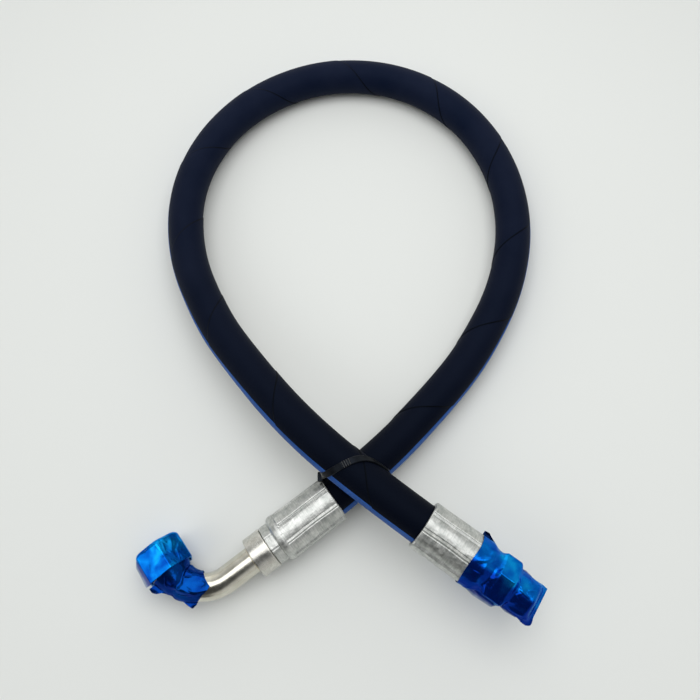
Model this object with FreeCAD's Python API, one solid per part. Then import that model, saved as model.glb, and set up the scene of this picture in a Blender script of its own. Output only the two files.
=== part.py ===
import FreeCAD, Part
import math
import os

# Hydraulic hose assembly, in millimetres, +Z up, resting on the plane Z = 0.
# A two-wire rubber hose is bent into one loop and tied where its limbs cross.
# The lower end carries a crimped 90 degree elbow with a swivel nut, the upper end a
# crimped straight stem with a male thread. Both threads wear a shrunk film capsule.

V = FreeCAD.Vector
X, Z = V(1, 0, 0), V(0, 0, 1)

# Hose: bore and the thickness of each layer, from the inside out
HOSE_BORE = 19.0
LINER_WALL = 1.9
BRAID_WALL = 0.8
INTERLAYER_WALL = 0.4
COVER_WALL = 1.6
LAYLINE_WIDTH = 11.0
LAYLINE_DEPTH = 0.2
LAYLINE_RISE = 10.0  # degrees that the stripe's middle stands above the loop's outer side

# Route of the hose in plan, with the share of the climb that each corner has made: 0 lies on
# the floor and 1 is on top of the lower limb. Both mouths are where the hose enters a ferrule.
LOWER_MOUTH = (-1.9, 35.9)
LOWER_CORNER = (26.9, 57.5)
LOOP = [
    (83.5, 117.0, 0.0),
    (114.0, 155.5, 0.0),
    (144.5, 212.5, 0.0),
    (157.5, 276.5, 0.0),
    (147.0, 341.5, 0.0),
    (111.5, 398.5, 0.0),
    (55.5, 433.0, 0.0),
    (-10.5, 438.0, 0.0),
    (-71.5, 413.0, 0.0),
    (-115.5, 365.0, 0.03),
    (-135.5, 303.0, 0.13),
    (-128.5, 236.5, 0.28),
    (-102.0, 179.5, 0.48),
    (-79.5, 146.5, 0.64),
    (-29.3, 86.0, 1.0),
]
UPPER_CORNER = (32.2, 36.1)
UPPER_MOUTH = (61.7, 15.4)
UPPER_DROOP = 1.6  # from the upper corner down to the upper mouth
LIMB_GAP = 0.4  # between the limbs where they cross
ARC_SHARE = 0.45  # of the shorter run, taken by the arc on each side of a point

# Ferrules: a soft steel shell crimped by eight dies, with its neck clenched into the stem
HOSE_INSERT = 43.0  # hose length inside the ferrule
CRIMP_RIDGE_DIAMETER = 36.8
CRIMP_ACROSS_FLATS = 35.2
CRIMP_DIES = 8
FERRULE_BODY = 49.5
FERRULE_SHOULDER_RADIUS = 4.2
FERRULE_EDGE = 0.8
NECK_LENGTH = 7.7
NECK_DIAMETER = 31.0
NECK_ACROSS_FLATS = 30.2
TOOTH_HEIGHT = 0.7
TOOTH_WIDTH = 1.6
TOOTH_ROOT = 0.2  # how deep a tooth starts in the shell
TOOTH_PITCH = 7.0
TOOTH_COUNT = 5
FIRST_TOOTH = 8.0  # from the ferrule's mouth
HOSE_END_GAP = 1.2  # from the hose's cut face to the ferrule's inner shoulder

# Stems: turned steel, with a barbed tail in the hose's bore
STEM_BORE = 15.0
TAIL_SETBACK = 3.0  # from the ferrule's mouth to the tail's tip
BARB_HEIGHT = 0.4
BARB_PITCH = 8.0
BARB_COUNT = 4
STEM_SHANK_DIAMETER = 25.0
LOCK_GROOVE_DIAMETER = 22.4
LOCK_GROOVE_WIDTH = 5.0
LOCK_CLEARANCE = 0.15
COLLAR_GAP = 0.3  # the dark line between the ferrule's neck and the collar or hexagon
COLLAR_DIAMETER = 31.2
COLLAR_LENGTH = 13.8
EDGE_BREAK = 0.6

# Elbow: bent tube brazed into the collar and into the nose
TUBE_DIAMETER = 20.0
TUBE_WALL = 2.5
ELBOW_REACH = 80.9  # from the hose's cut face to the corner where the two tube axes meet
BEND_RADIUS = 30.0
SOCKET_DEPTH = 9.0
SOCKET_CLEARANCE = 0.05
BRAZE_LEG = 1.1
NOSE_SHOULDER_DIAMETER = 23.6
NOSE_SHOULDER_LENGTH = 2.5
NOSE_SOCKET_DEPTH = 3.5
NOSE_BRAZE_THICKNESS = 0.5
CONE_LENGTH = 4.4
CONE_BASE_DIAMETER = 22.4
CONE_HALF_ANGLE = 30.0
SEAL_SECTION = 1.5
SEAL_FROM_BASE = 2.8
SEAL_PROUD = 0.3
SEAL_GROOVE_CLEARANCE = 0.1

# Swivel nut and male end, for a 3/4 in parallel pipe thread
NUT_ACROSS_FLATS = 32.0
NUT_LENGTH = 20.5
NUT_SETBACK = 0.5  # how far the nut's back face lies behind the end of the bend
NUT_FLANGE = 3.6
NUT_TUBE_CLEARANCE = 0.3
NUT_NOSE_GAP = 0.4
NUT_CAVITY_DIAMETER = 26.6
NUT_THREAD_DIAMETER = 24.12
NOSE_TO_THREAD = 0.2
NUT_CHAMFER = 1.2
NUT_ROLL = -14.4  # degrees from straight up to a corner; below 0 it leans towards the hose
HEX_ACROSS_FLATS = 32.0
HEX_LENGTH = 10.8
HEX_ROLL = 5.0  # degrees from straight up to a corner, towards the loop
HEX_CHAMFER_ANGLE = 30.0
THREAD_DIAMETER = 26.44
THREAD_LENGTH = 16.0
THREAD_RELIEF_DIAMETER = 24.0
THREAD_RELIEF_WIDTH = 2.4
THREAD_CHAMFER = 1.4
SEAT_MOUTH_DIAMETER = 21.0

# Film capsules, shrunk over both thread ends
FILM = 0.5
FILM_GAP = 0.1
FILM_CORNER_RADIUS = 2.4
FILM_THREAD_GAP = 0.7
FILM_OVERLAP = 10.5  # length over the ferrule's body
FILM_WAIST_GAP = 0.8  # from the ferrule's neck to the film where it is drawn in
FILM_OVERHANG = 8.6  # past the end of the male thread
NECK_FILM_FROM = 3.2  # degrees round the bend from the nut's back
NECK_FILM_TO = 62.0
NECK_FILM_TAPER = 5.0  # how sharply it is drawn in from the nut's width to the tube's
NECK_FILM_RINGS = 9
NECK_FILM_INSET = 0.4  # of the wide end's diameter, from the nut's flats
NECK_FILM_SLACK = 1.8  # of the narrow end's diameter, over the tube's

# Cable tie round the crossing
TIE_WIDTH = 4.8
TIE_THICKNESS = 1.3
TIE_GAP = 0.2
TIE_LEAN = 14.0  # degrees that the strap leans towards the loop as it goes over the upper limb
TIE_SHIFT = 2.6  # of the strap's middle towards the loop, clear of the ferrule's mouth
TIE_HEAD_OUT = 4.2
TIE_HEAD_WIDTH = 7.0
TIE_HEAD_LENGTH = 7.6
TIE_TAIL = 3.0

BORE_RADIUS = HOSE_BORE / 2
LINER_RADIUS = BORE_RADIUS + LINER_WALL
INNER_BRAID_RADIUS = LINER_RADIUS + BRAID_WALL
INTERLAYER_RADIUS = INNER_BRAID_RADIUS + INTERLAYER_WALL
OUTER_BRAID_RADIUS = INTERLAYER_RADIUS + BRAID_WALL
HOSE_RADIUS = OUTER_BRAID_RADIUS + COVER_WALL
FULL_TURN = 360
OVERSHOOT = 1.0  # how far cutting tools run past what they cut
BIG = 60.0

os.makedirs("parts", exist_ok=True)


def save(name, shape):
    """Writes one piece and prints its solids and volume."""
    if shape.ShapeType == "Compound" and len(shape.Solids) == 1:
        shape = shape.Solids[0]
    shape.exportStep(f"parts/{name}.step")
    print(name, "solids", len(shape.Solids), "volume", round(shape.Volume, 1), "valid", shape.isValid())


def turned(outline):
    """A solid of revolution about the X axis, from (x, radius) corners."""
    corners = [V(x, 0, r) for x, r in outline]
    return Part.Face(Part.makePolygon(corners + corners[:1])).revolve(V(0, 0, 0), X, FULL_TURN)


def bar(start, end, radius):
    """A round bar along X."""
    return Part.makeCylinder(radius, end - start, V(start, 0, 0), X)


def tube(start, end, outer, inner):
    """A round tube along X."""
    return bar(start, end, outer).cut(bar(start - OVERSHOOT, end + OVERSHOOT, inner))


def polygon_bar(sides, across_flats, start, end, roll):
    """A regular prism along X, with a corner at roll degrees from straight up."""
    corner = across_flats / 2 / math.cos(math.pi / sides)
    angles = [math.radians(roll + FULL_TURN / sides * i) for i in range(sides)]
    corners = [V(start, corner * math.sin(a), corner * math.cos(a)) for a in angles]
    return Part.Face(Part.makePolygon(corners + corners[:1])).extrude(X * (end - start))


def chamfered_hexagon(across_flats, start, end, roll):
    """A hexagon bar whose corners are turned off at both ends."""
    corner = across_flats / math.sqrt(3)
    flat = across_flats / 2 - EDGE_BREAK / 2
    drop = (corner - flat) * math.tan(math.radians(HEX_CHAMFER_ANGLE))
    ends = turned([(start, 0), (start, flat), (start + drop, corner), (end - drop, corner), (end, flat), (end, 0)])
    return polygon_bar(6, across_flats, start, end, roll).common(ends)


def path_of(points):
    """The wire of straight runs joined by tangent arcs, and its arcs' radii."""
    edges, radii, at = [], [], points[0]
    for before, corner, after in zip(points, points[1:], points[2:]):
        run_in, run_out = corner - before, after - corner
        cut = ARC_SHARE * min(run_in.Length, run_out.Length)
        run_in.normalize()
        run_out.normalize()
        half = run_in.getAngle(run_out) / 2
        radius = cut / math.tan(half)
        inward = run_out - run_in
        inward.normalize()
        middle = corner + inward * (radius / math.cos(half) - radius)
        edges.append(Part.LineSegment(at, corner - run_in * cut).toShape())
        edges.append(Part.Arc(corner - run_in * cut, middle, corner + run_out * cut).toShape())
        radii.append(radius)
        at = corner + run_out * cut
    edges.append(Part.LineSegment(at, points[-1]).toShape())
    return Part.Wire(edges), radii


def carried(face, wire):
    """Carries a face along a wire of lines and arcs without twisting it, and joins the pieces."""
    pieces = []
    for edge in wire.Edges:
        if edge.Curve.TypeId == "Part::GeomLine":
            step = edge.lastVertex(True).Point - edge.firstVertex(True).Point
            pieces.append(face.extrude(step))
            face = face.translated(step)
        else:
            turn = math.degrees(edge.Length / edge.Curve.Radius)
            here, there = edge.tangentAt(edge.FirstParameter), edge.tangentAt(edge.LastParameter)
            if edge.Orientation == "Reversed":
                here, there = there * -1, here * -1
            axis = here.cross(there)
            pieces.append(face.revolve(edge.Curve.Center, axis, turn))
            face = face.rotated(edge.Curve.Center, axis, turn)
    return pieces[0].multiFuse(pieces[1:])


def end_frame(end, inner):
    """Places local X along the hose's end, pointing out of it, with local Z as near to up as it goes."""
    out = end - inner
    out.normalize()
    side = Z.cross(out)
    side.normalize()
    return FreeCAD.Placement(end, FreeCAD.Rotation(out, side, out.cross(side), "XYZ"))


def placed(shape, placement):
    """A copy of a shape, moved to its place."""
    copy = shape.copy()
    copy.Placement = placement.multiply(copy.Placement)
    return copy


def cut_end(mouth_point, corner_point):
    """The hose's cut end, inside a ferrule whose mouth looks at a corner of the route."""
    inwards = mouth_point - corner_point
    inwards.normalize()
    return mouth_point + inwards * HOSE_INSERT


low_axis = CRIMP_RIDGE_DIAMETER / 2
high_axis = low_axis + 2 * HOSE_RADIUS + LIMB_GAP
climb = high_axis - HOSE_RADIUS
lower = [V(*LOWER_MOUTH, low_axis), V(*LOWER_CORNER, low_axis)]
upper = [V(*UPPER_CORNER, high_axis), V(*UPPER_MOUTH, high_axis - UPPER_DROOP)]
loop = [V(x, y, HOSE_RADIUS + climb * share) for x, y, share in LOOP]
points = [cut_end(lower[0], lower[1]), lower[1], *loop, upper[0], cut_end(upper[1], upper[0])]
route, radii = path_of(points)
start_face = points[0]
start_way = points[1] - points[0]
lower_limb, upper_limb = route.Edges[:4], route.Edges[-5:]
elbow_end = end_frame(points[0], points[1])
straight_end = end_frame(points[-1], points[-2])
print("hose length", round(route.Length, 1), "of which in the ferrules", 2 * HOSE_INSERT)
print("arc radii", [round(r, 1) for r in radii], "least, in diameters", round(min(radii) / HOSE_RADIUS / 2, 2))


def rod(radius, wire=route):
    """A solid rod along the route, or along a piece of it."""
    start = wire.Edges[0]
    way = start.tangentAt(start.FirstParameter)
    disc = Part.Circle(start.firstVertex(True).Point, way, radius)
    return wire.makePipe(Part.Face(Part.Wire(disc.toShape())))


def layer(name, outer, inner):
    """One layer of the hose, with its volume set against its section times its length."""
    shape = rod(outer).cut(rod(inner))
    expected = math.pi * (outer**2 - inner**2) * route.Length
    print(name, "volume over section times length", round(shape.Volume / expected, 5))
    return shape


# Ferrule, along X from the hose's cut face at x = 0; its mouth is on the hose's side
mouth = -HOSE_INSERT
body_end = mouth + FERRULE_BODY
neck_end = body_end + NECK_LENGTH
ridge = CRIMP_RIDGE_DIAMETER / 2
neck = NECK_DIAMETER / 2
shank = STEM_SHANK_DIAMETER / 2
groove = LOCK_GROOVE_DIAMETER / 2
groove_start = neck_end - (NECK_LENGTH + LOCK_GROOVE_WIDTH) / 2
groove_end = groove_start + LOCK_GROOVE_WIDTH
inner_shoulder = HOSE_END_GAP


def ferrule_teeth():
    """The ribs inside the ferrule that bite into the hose's cover."""
    teeth = []
    for i in range(TOOTH_COUNT):
        at = mouth + FIRST_TOOTH + TOOTH_PITCH * i
        tip = HOSE_RADIUS - TOOTH_HEIGHT
        half = TOOTH_WIDTH / 2
        root = HOSE_RADIUS + TOOTH_ROOT
        teeth.append(turned([(at - half, root), (at - half / 2, tip), (at + half / 2, tip), (at + half, root)]))
    return teeth


def ferrule():
    """The crimped shell: a turned blank with eight die flats, a rounded shoulder and a clenched neck."""
    turn = FERRULE_SHOULDER_RADIUS
    steps = 6
    shoulder = []
    for i in range(steps + 1):
        a = math.pi / 2 * i / steps
        drop = (ridge - neck) * (1 - math.cos(a))
        shoulder.append((body_end - turn + turn * math.sin(a), ridge - drop))
    outline = [
        (mouth, HOSE_RADIUS),
        (mouth, ridge - FERRULE_EDGE),
        (mouth + FERRULE_EDGE, ridge),
        *shoulder,
        (neck_end, neck),
        (neck_end, shank + LOCK_CLEARANCE),
        (groove_end - LOCK_CLEARANCE, shank + LOCK_CLEARANCE),
        (groove_end - LOCK_CLEARANCE, groove + LOCK_CLEARANCE),
        (groove_start + LOCK_CLEARANCE, groove + LOCK_CLEARANCE),
        (groove_start + LOCK_CLEARANCE, shank + LOCK_CLEARANCE),
        (inner_shoulder, shank + LOCK_CLEARANCE),
        (inner_shoulder, HOSE_RADIUS),
    ]
    shell = turned(outline)
    die_roll = FULL_TURN / CRIMP_DIES / 2
    dies = polygon_bar(CRIMP_DIES, CRIMP_ACROSS_FLATS, mouth - OVERSHOOT, body_end - turn, die_roll)
    rest = bar(body_end - turn, neck_end + OVERSHOOT, BIG)
    neck_dies = polygon_bar(CRIMP_DIES, NECK_ACROSS_FLATS, body_end, neck_end + OVERSHOOT, die_roll)
    before_neck = bar(mouth - OVERSHOOT, body_end, BIG)
    shell = shell.common(dies.fuse(rest)).common(neck_dies.fuse(before_neck))
    return shell.multiFuse(ferrule_teeth())


# Stem, common to both ends: barbed tail, shank, lock groove
tail_tip = mouth + TAIL_SETBACK
head_start = neck_end + COLLAR_GAP
stem_bore = STEM_BORE / 2
tail = BORE_RADIUS
barb = tail + BARB_HEIGHT


def tail_outline():
    """Corners of the tail, from its tip to the face of the collar or hexagon."""
    corners = [(tail_tip, stem_bore), (tail_tip, tail - BARB_HEIGHT), (tail_tip + BARB_HEIGHT, tail)]
    for i in range(BARB_COUNT):
        at = tail_tip + BARB_PITCH * (i + 0.5)
        corners += [(at, tail), (at + BARB_PITCH / 2, barb), (at + BARB_PITCH / 2, tail)]
    corners += [
        (0, tail),
        (0, shank),
        (groove_start, shank),
        (groove_start, groove),
        (groove_end, groove),
        (groove_end, shank),
        (head_start, shank),
    ]
    return corners


collar_end = head_start + COLLAR_LENGTH
collar = COLLAR_DIAMETER / 2
tube_radius = TUBE_DIAMETER / 2
socket = tube_radius + SOCKET_CLEARANCE


def elbow_stem():
    """Tail and round collar in one turned piece, bored for the elbow tube."""
    return turned(
        tail_outline()
        + [
            (head_start, collar - EDGE_BREAK),
            (head_start + EDGE_BREAK, collar),
            (collar_end - EDGE_BREAK, collar),
            (collar_end, collar - EDGE_BREAK),
            (collar_end, socket),
            (collar_end - SOCKET_DEPTH, socket),
            (collar_end - SOCKET_DEPTH, stem_bore),
        ]
    )


hex_end = head_start + HEX_LENGTH
relief_end = hex_end + THREAD_RELIEF_WIDTH
thread_end = hex_end + THREAD_LENGTH
thread = THREAD_DIAMETER / 2
seat = SEAT_MOUTH_DIAMETER / 2


def straight_stem():
    """Tail, hexagon and male thread in one turned piece, with a coned seat in its end."""
    seat_depth = (seat - stem_bore) / math.tan(math.radians(CONE_HALF_ANGLE))
    body = turned(
        tail_outline()
        + [
            (head_start, thread),
            (hex_end, thread),
            (hex_end, THREAD_RELIEF_DIAMETER / 2),
            (relief_end, THREAD_RELIEF_DIAMETER / 2),
            (relief_end + THREAD_CHAMFER, thread),
            (thread_end - THREAD_CHAMFER, thread),
            (thread_end, thread - THREAD_CHAMFER),
            (thread_end, seat),
            (thread_end - seat_depth, stem_bore),
        ]
    )
    spanner_hexagon = chamfered_hexagon(HEX_ACROSS_FLATS, head_start, hex_end, HEX_ROLL)
    bore = bar(head_start - OVERSHOOT, hex_end + OVERSHOOT, stem_bore)
    return body.fuse(spanner_hexagon.cut(bore))


# Elbow tube, in the frame of the lower end: along X to the bend, then level and square to it.
# The second leg points away from the loop, and its own X frame has x = 0 at the corner.
corner = V(ELBOW_REACH, 0, 0)
second_leg = FreeCAD.Placement(corner, FreeCAD.Rotation(V(0, -1, 0), X, Z, "XYZ"))
tube_start = collar_end - SOCKET_DEPTH
nut_back = BEND_RADIUS - NUT_SETBACK
nut_front = nut_back + NUT_LENGTH
nose_back = nut_back + NUT_FLANGE + NUT_NOSE_GAP
cone_base = nose_back + NOSE_SHOULDER_LENGTH
nose_tip = cone_base + CONE_LENGTH
thread_start = nose_tip + NOSE_TO_THREAD
tube_end = nose_back + NOSE_SOCKET_DEPTH - NOSE_BRAZE_THICKNESS


def elbow_tube():
    """Drawn steel tube, bent a quarter turn."""
    bend_start = V(ELBOW_REACH - BEND_RADIUS, 0, 0)
    bend_end = corner + V(0, -BEND_RADIUS, 0)
    centre = bend_start + V(0, -BEND_RADIUS, 0)
    middle = centre + V(math.sqrt(0.5), math.sqrt(0.5), 0) * BEND_RADIUS
    line = Part.Wire(
        [
            Part.LineSegment(V(tube_start, 0, 0), bend_start).toShape(),
            Part.Arc(bend_start, middle, bend_end).toShape(),
            Part.LineSegment(bend_end, corner + V(0, -tube_end, 0)).toShape(),
        ]
    )
    discs = [
        Part.Face(Part.Wire(Part.Circle(V(tube_start, 0, 0), X, r).toShape()))
        for r in (tube_radius, tube_radius - TUBE_WALL)
    ]
    return line.makePipe(discs[0]).cut(line.makePipe(discs[1]))


def stem_braze_ring():
    """Fillet of braze between the collar's end face and the tube."""
    leg = BRAZE_LEG
    return turned([(collar_end, tube_radius), (collar_end, tube_radius + leg), (collar_end + leg, tube_radius)])


cone_slope = math.tan(math.radians(CONE_HALF_ANGLE))
seal_x = cone_base + SEAL_FROM_BASE
seal_radius = SEAL_SECTION / 2
seal_middle = CONE_BASE_DIAMETER / 2 - cone_slope * SEAL_FROM_BASE + SEAL_PROUD - seal_radius


def elbow_nose():
    """Coned nose with a shoulder for the nut, brazed on the tube's end, with a seal groove in its cone."""
    base = CONE_BASE_DIAMETER / 2
    tip = base - cone_slope * CONE_LENGTH
    shoulder = NOSE_SHOULDER_DIAMETER / 2
    socket_end = nose_back + NOSE_SOCKET_DEPTH
    nose = turned(
        [
            (nose_back, socket),
            (nose_back, shoulder - EDGE_BREAK / 2),
            (nose_back + EDGE_BREAK / 2, shoulder),
            (cone_base, shoulder),
            (cone_base, base),
            (nose_tip, tip),
            (nose_tip, stem_bore),
            (socket_end, stem_bore),
            (socket_end, socket),
        ]
    )
    half = seal_radius + SEAL_GROOVE_CLEARANCE
    floor = seal_middle - seal_radius
    return nose.cut(tube(seal_x - half, seal_x + half, base + OVERSHOOT, floor))


def nose_braze_ring():
    """Ring of braze between the tube's end and the floor of the nose's socket."""
    return tube(tube_end, tube_end + NOSE_BRAZE_THICKNESS, tube_radius, tube_radius - TUBE_WALL)


def nose_seal():
    """Rubber ring in the nose's cone."""
    return Part.makeTorus(seal_middle, seal_radius, V(seal_x, 0, 0), X)


def swivel_nut():
    """Hexagon nut, free to turn on the tube and held on by the nose's shoulder."""
    cavity = NUT_CAVITY_DIAMETER / 2
    bore = NUT_THREAD_DIAMETER / 2
    flange_end = nut_back + NUT_FLANGE
    hollow = turned(
        [
            (nut_back - OVERSHOOT, 0),
            (nut_back - OVERSHOOT, tube_radius + NUT_TUBE_CLEARANCE),
            (flange_end, tube_radius + NUT_TUBE_CLEARANCE),
            (flange_end, cavity),
            (thread_start, cavity),
            (thread_start, bore),
            (nut_front - NUT_CHAMFER, bore),
            (nut_front, bore + NUT_CHAMFER),
            (nut_front + OVERSHOOT, bore + NUT_CHAMFER),
            (nut_front + OVERSHOOT, 0),
        ]
    )
    return chamfered_hexagon(NUT_ACROSS_FLATS, nut_back, nut_front, NUT_ROLL).cut(hollow)


def rounded_hexagon(across_flats, start, end, roll):
    """A hexagon bar with rounded corners, as film pulls over them."""
    block = polygon_bar(6, across_flats, start, end, roll)
    long_edges = [e for e in block.Edges if abs(e.tangentAt(e.FirstParameter).dot(X)) > 0.99]
    return block.makeFillet(FILM_CORNER_RADIUS, long_edges)


def bend_frame(angle):
    """A point on the bend's centre line and the way along it there, from the nut's back end of the bend."""
    a = math.radians(angle)
    at = V(BEND_RADIUS - BEND_RADIUS * math.sin(a), -BEND_RADIUS * (1 - math.cos(a)), 0)
    return at, V(math.cos(a), math.sin(a), 0)


neck_film_wide = (NUT_ACROSS_FLATS - NECK_FILM_INSET) / 2
neck_film_tight = (TUBE_DIAMETER + NECK_FILM_SLACK) / 2


def neck_solid(shrink):
    """The funnel that the film makes round the bend, lofted through circles square to the bend."""
    wires = []
    for i in range(NECK_FILM_RINGS):
        share = i / (NECK_FILM_RINGS - 1)
        at, way = bend_frame(NECK_FILM_FROM + (NECK_FILM_TO - NECK_FILM_FROM) * share)
        flare = (neck_film_wide - neck_film_tight) * (1 - share) ** NECK_FILM_TAPER
        wires.append(Part.Wire(Part.Circle(at, way, neck_film_tight + flare - shrink).toShape()))
    return Part.makeLoft(wires, True, False)


def elbow_film_neck():
    """The film behind the nut, drawn in round the bend and open at both ends."""
    at, way = bend_frame(NECK_FILM_TO)
    opening = Part.makeCylinder(neck_film_tight - FILM, 2 * OVERSHOOT, at - way * 2 * OVERSHOOT, way)
    return neck_solid(0.0).cut(neck_solid(FILM)).cut(opening)


def elbow_film_cap():
    """Shrunk film over the nut's flats and corners, closed over its mouth."""
    inner_flats = NUT_ACROSS_FLATS + 2 * FILM_GAP
    front = nut_front + FILM_GAP
    skin = rounded_hexagon(inner_flats + 2 * FILM, nut_back, front + FILM, NUT_ROLL)
    return skin.cut(polygon_bar(6, inner_flats, nut_back - OVERSHOOT, front, NUT_ROLL))


film_start = body_end - FILM_OVERLAP
film_end = thread_end + FILM_OVERHANG
film_thread = thread + FILM_THREAD_GAP


def straight_film_capsule():
    """Shrunk film over the ferrule's end, hexagon and male thread, closed past the thread."""
    over_ferrule = ridge + FILM_GAP
    waist = neck + FILM_WAIST_GAP
    inner_flats = HEX_ACROSS_FLATS + 2 * FILM_GAP
    hex_from, hex_to = head_start - FILM_GAP, hex_end + FILM_GAP
    slope = inner_flats / math.sqrt(3) - film_thread

    def funnel(film, closed):
        return turned(
            [
                (film_start - (0 if closed else OVERSHOOT), 0),
                (film_start - (0 if closed else OVERSHOOT), over_ferrule + film),
                (body_end - FERRULE_SHOULDER_RADIUS / 2, over_ferrule + film),
                (body_end + NECK_LENGTH / 3, waist + film),
                (hex_from, waist + film),
                (hex_to, waist + film),
                (hex_to + slope / 2, film_thread + film),
                (film_end - (0 if closed else FILM), film_thread + film),
                (film_end - (0 if closed else FILM), 0),
            ]
        )

    skin = funnel(FILM, True).fuse(rounded_hexagon(inner_flats + 2 * FILM, hex_from - FILM, hex_to + FILM, HEX_ROLL))
    hollow = funnel(0.0, False).fuse(polygon_bar(6, inner_flats, hex_from, hex_to, HEX_ROLL))
    return skin.cut(hollow)


def crossing():
    """Where the two limbs cross in plan: the place, both heights and both directions."""
    low_from, low_to, high_from, high_to = points[0], points[1], points[-3], points[-2]
    low, high = low_to - low_from, high_to - high_from
    gap = high_from - low_from
    share = (gap.x * high.y - gap.y * high.x) / (low.x * high.y - low.y * high.x)
    meet = low_from + low * share
    along = ((meet - high_from).x * high.x + (meet - high_from).y * high.y) / (high.x**2 + high.y**2)
    return meet, (high_from + high * along).z, low, high


def strap_half(edges, height, up, lean, frame):
    """Half of the strap's turn, lying on one limb: a skin on the hose, cut out by a leaning slab."""
    limb = Part.Wire(edges)
    skin = rod(HOSE_RADIUS + TIE_GAP + TIE_THICKNESS, limb).cut(rod(HOSE_RADIUS + TIE_GAP, limb))
    slab = Part.makeBox(2 * BIG, TIE_WIDTH, 2 * BIG, V(-BIG, -TIE_WIDTH / 2, -BIG))
    slab.rotate(V(0, 0, 0), X, -lean)
    side = Part.makeBox(2 * BIG, 2 * BIG, BIG, V(-BIG, -BIG, 0 if up else -BIG))
    slab = slab.common(side)
    slab.Placement = FreeCAD.Placement(V(0, 0, height), FreeCAD.Rotation()).multiply(frame)
    return skin.common(slab)


def strap_feet(half, height, frame):
    """Outlines of the two level faces where half of the strap's turn ends, in order along the crossing."""
    feet = []
    for face in half.Faces:
        box = face.BoundBox
        if abs(box.ZMin - height) + abs(box.ZMax - height) > TIE_GAP:
            continue
        corners = [frame.inverse().multVec(v.Point) for v in face.Vertexes]
        corners.sort(key=lambda c: c.y)
        near = sorted(corners[:2], key=lambda c: c.x)
        far = sorted(corners[-2:], key=lambda c: -c.x)
        feet.append(near + far)
    feet.sort(key=lambda foot: foot[0].x)
    return [Part.makePolygon([frame.multVec(c) for c in foot + foot[:1]]) for foot in feet]


def cable_tie():
    """Nylon strap drawn round both limbs through the two open corners of the crossing, with its head at one side."""
    meet, top, low, high = crossing()
    low, high = V(low.x, low.y, 0), V(high.x, high.y, 0)
    low.normalize()
    high.normalize()
    along = low + high
    along.normalize()
    across = V(-along.y, along.x, 0)
    turn = FreeCAD.Rotation(along, across, Z, "XYZ")
    place = V(meet.x, meet.y, 0) + across * TIE_SHIFT
    frame = FreeCAD.Placement(place, turn)
    over = strap_half(upper_limb, top, True, TIE_LEAN, frame)
    under = strap_half(lower_limb, meet.z, False, 0.0, frame)
    feet = zip(strap_feet(over, top, frame), strap_feet(under, meet.z, frame))
    sides = [Part.makeLoft(list(pair), True, True) for pair in feet]
    reach = frame.inverse().multVec(sides[0].CenterOfMass).x
    head = Part.makeBox(TIE_HEAD_OUT, TIE_HEAD_WIDTH, TIE_HEAD_LENGTH)
    head = head.makeFillet(EDGE_BREAK, head.Edges)
    stub = Part.makeBox(TIE_THICKNESS, TIE_WIDTH, TIE_HEAD_LENGTH / 2 + TIE_TAIL)
    stub.translate(V(TIE_THICKNESS, (TIE_HEAD_WIDTH - TIE_WIDTH) / 2, TIE_HEAD_LENGTH / 2))
    head = head.fuse(stub)
    head.translate(V(reach + TIE_THICKNESS / 2 - TIE_HEAD_OUT, -TIE_HEAD_WIDTH / 2, (top + meet.z) / 2))
    head.Placement = frame.multiply(head.Placement)
    strap = over.multiFuse([under, *sides, head])
    for edges in (upper_limb, lower_limb):
        strap = strap.cut(rod(HOSE_RADIUS, Part.Wire(edges)))
    return strap


def layline():
    """The coloured tape let into the cover along the loop's outer side, between the ferrules' mouths."""
    inner, outer = HOSE_RADIUS - LAYLINE_DEPTH, HOSE_RADIUS
    half = LAYLINE_WIDTH / 2 / HOSE_RADIUS
    middle = math.radians(LAYLINE_RISE)
    way = V(start_way)
    way.normalize()
    outward = way.cross(Z)
    lift = outward.cross(way)

    def at(radius, angle):
        return start_face + outward * (radius * math.cos(angle)) + lift * (radius * math.sin(angle))

    a, b = middle - half, middle + half
    edges = [
        Part.Arc(at(outer, a), at(outer, middle), at(outer, b)).toShape(),
        Part.LineSegment(at(outer, b), at(inner, b)).toShape(),
        Part.Arc(at(inner, b), at(inner, middle), at(inner, a)).toShape(),
        Part.LineSegment(at(inner, a), at(outer, a)).toShape(),
    ]
    tape = carried(Part.Face(Part.Wire(edges)), route)
    for frame in (elbow_end, straight_end):
        tape = tape.cut(placed(bar(mouth, OVERSHOOT, BIG / 2), frame))
    return tape


# Hose
stems = {"elbow": (elbow_stem(), elbow_end), "straight": (straight_stem(), straight_end)}
liner = layer("hose_liner", LINER_RADIUS, BORE_RADIUS)
cover = layer("hose_cover", HOSE_RADIUS, OUTER_BRAID_RADIUS)
for stem, frame in stems.values():
    liner = liner.cut(placed(stem, frame))
    for tooth in ferrule_teeth():
        cover = cover.cut(placed(tooth, frame))
tape = layline()
cover = cover.cut(tape)
save("hose_liner", liner)
save("inner_wire_braid", layer("inner_wire_braid", INNER_BRAID_RADIUS, LINER_RADIUS))
save("braid_interlayer", layer("braid_interlayer", INTERLAYER_RADIUS, INNER_BRAID_RADIUS))
save("outer_wire_braid", layer("outer_wire_braid", OUTER_BRAID_RADIUS, INTERLAYER_RADIUS))
save("hose_cover", cover)
save("layline_stripe", tape)

# Lower end
nut_frame = elbow_end.multiply(second_leg)
save("elbow_stem", placed(stems["elbow"][0], elbow_end))
save("elbow_ferrule", placed(ferrule(), elbow_end))
save("elbow_tube", placed(elbow_tube(), elbow_end))
save("stem_braze_ring", placed(stem_braze_ring(), elbow_end))
save("elbow_nose", placed(elbow_nose(), nut_frame))
save("nose_braze_ring", placed(nose_braze_ring(), nut_frame))
save("nose_seal_ring", placed(nose_seal(), nut_frame))
save("swivel_nut", placed(swivel_nut(), nut_frame))
save("elbow_film_cap", placed(elbow_film_cap(), nut_frame))
save("elbow_film_neck", placed(elbow_film_neck(), nut_frame))

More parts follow.
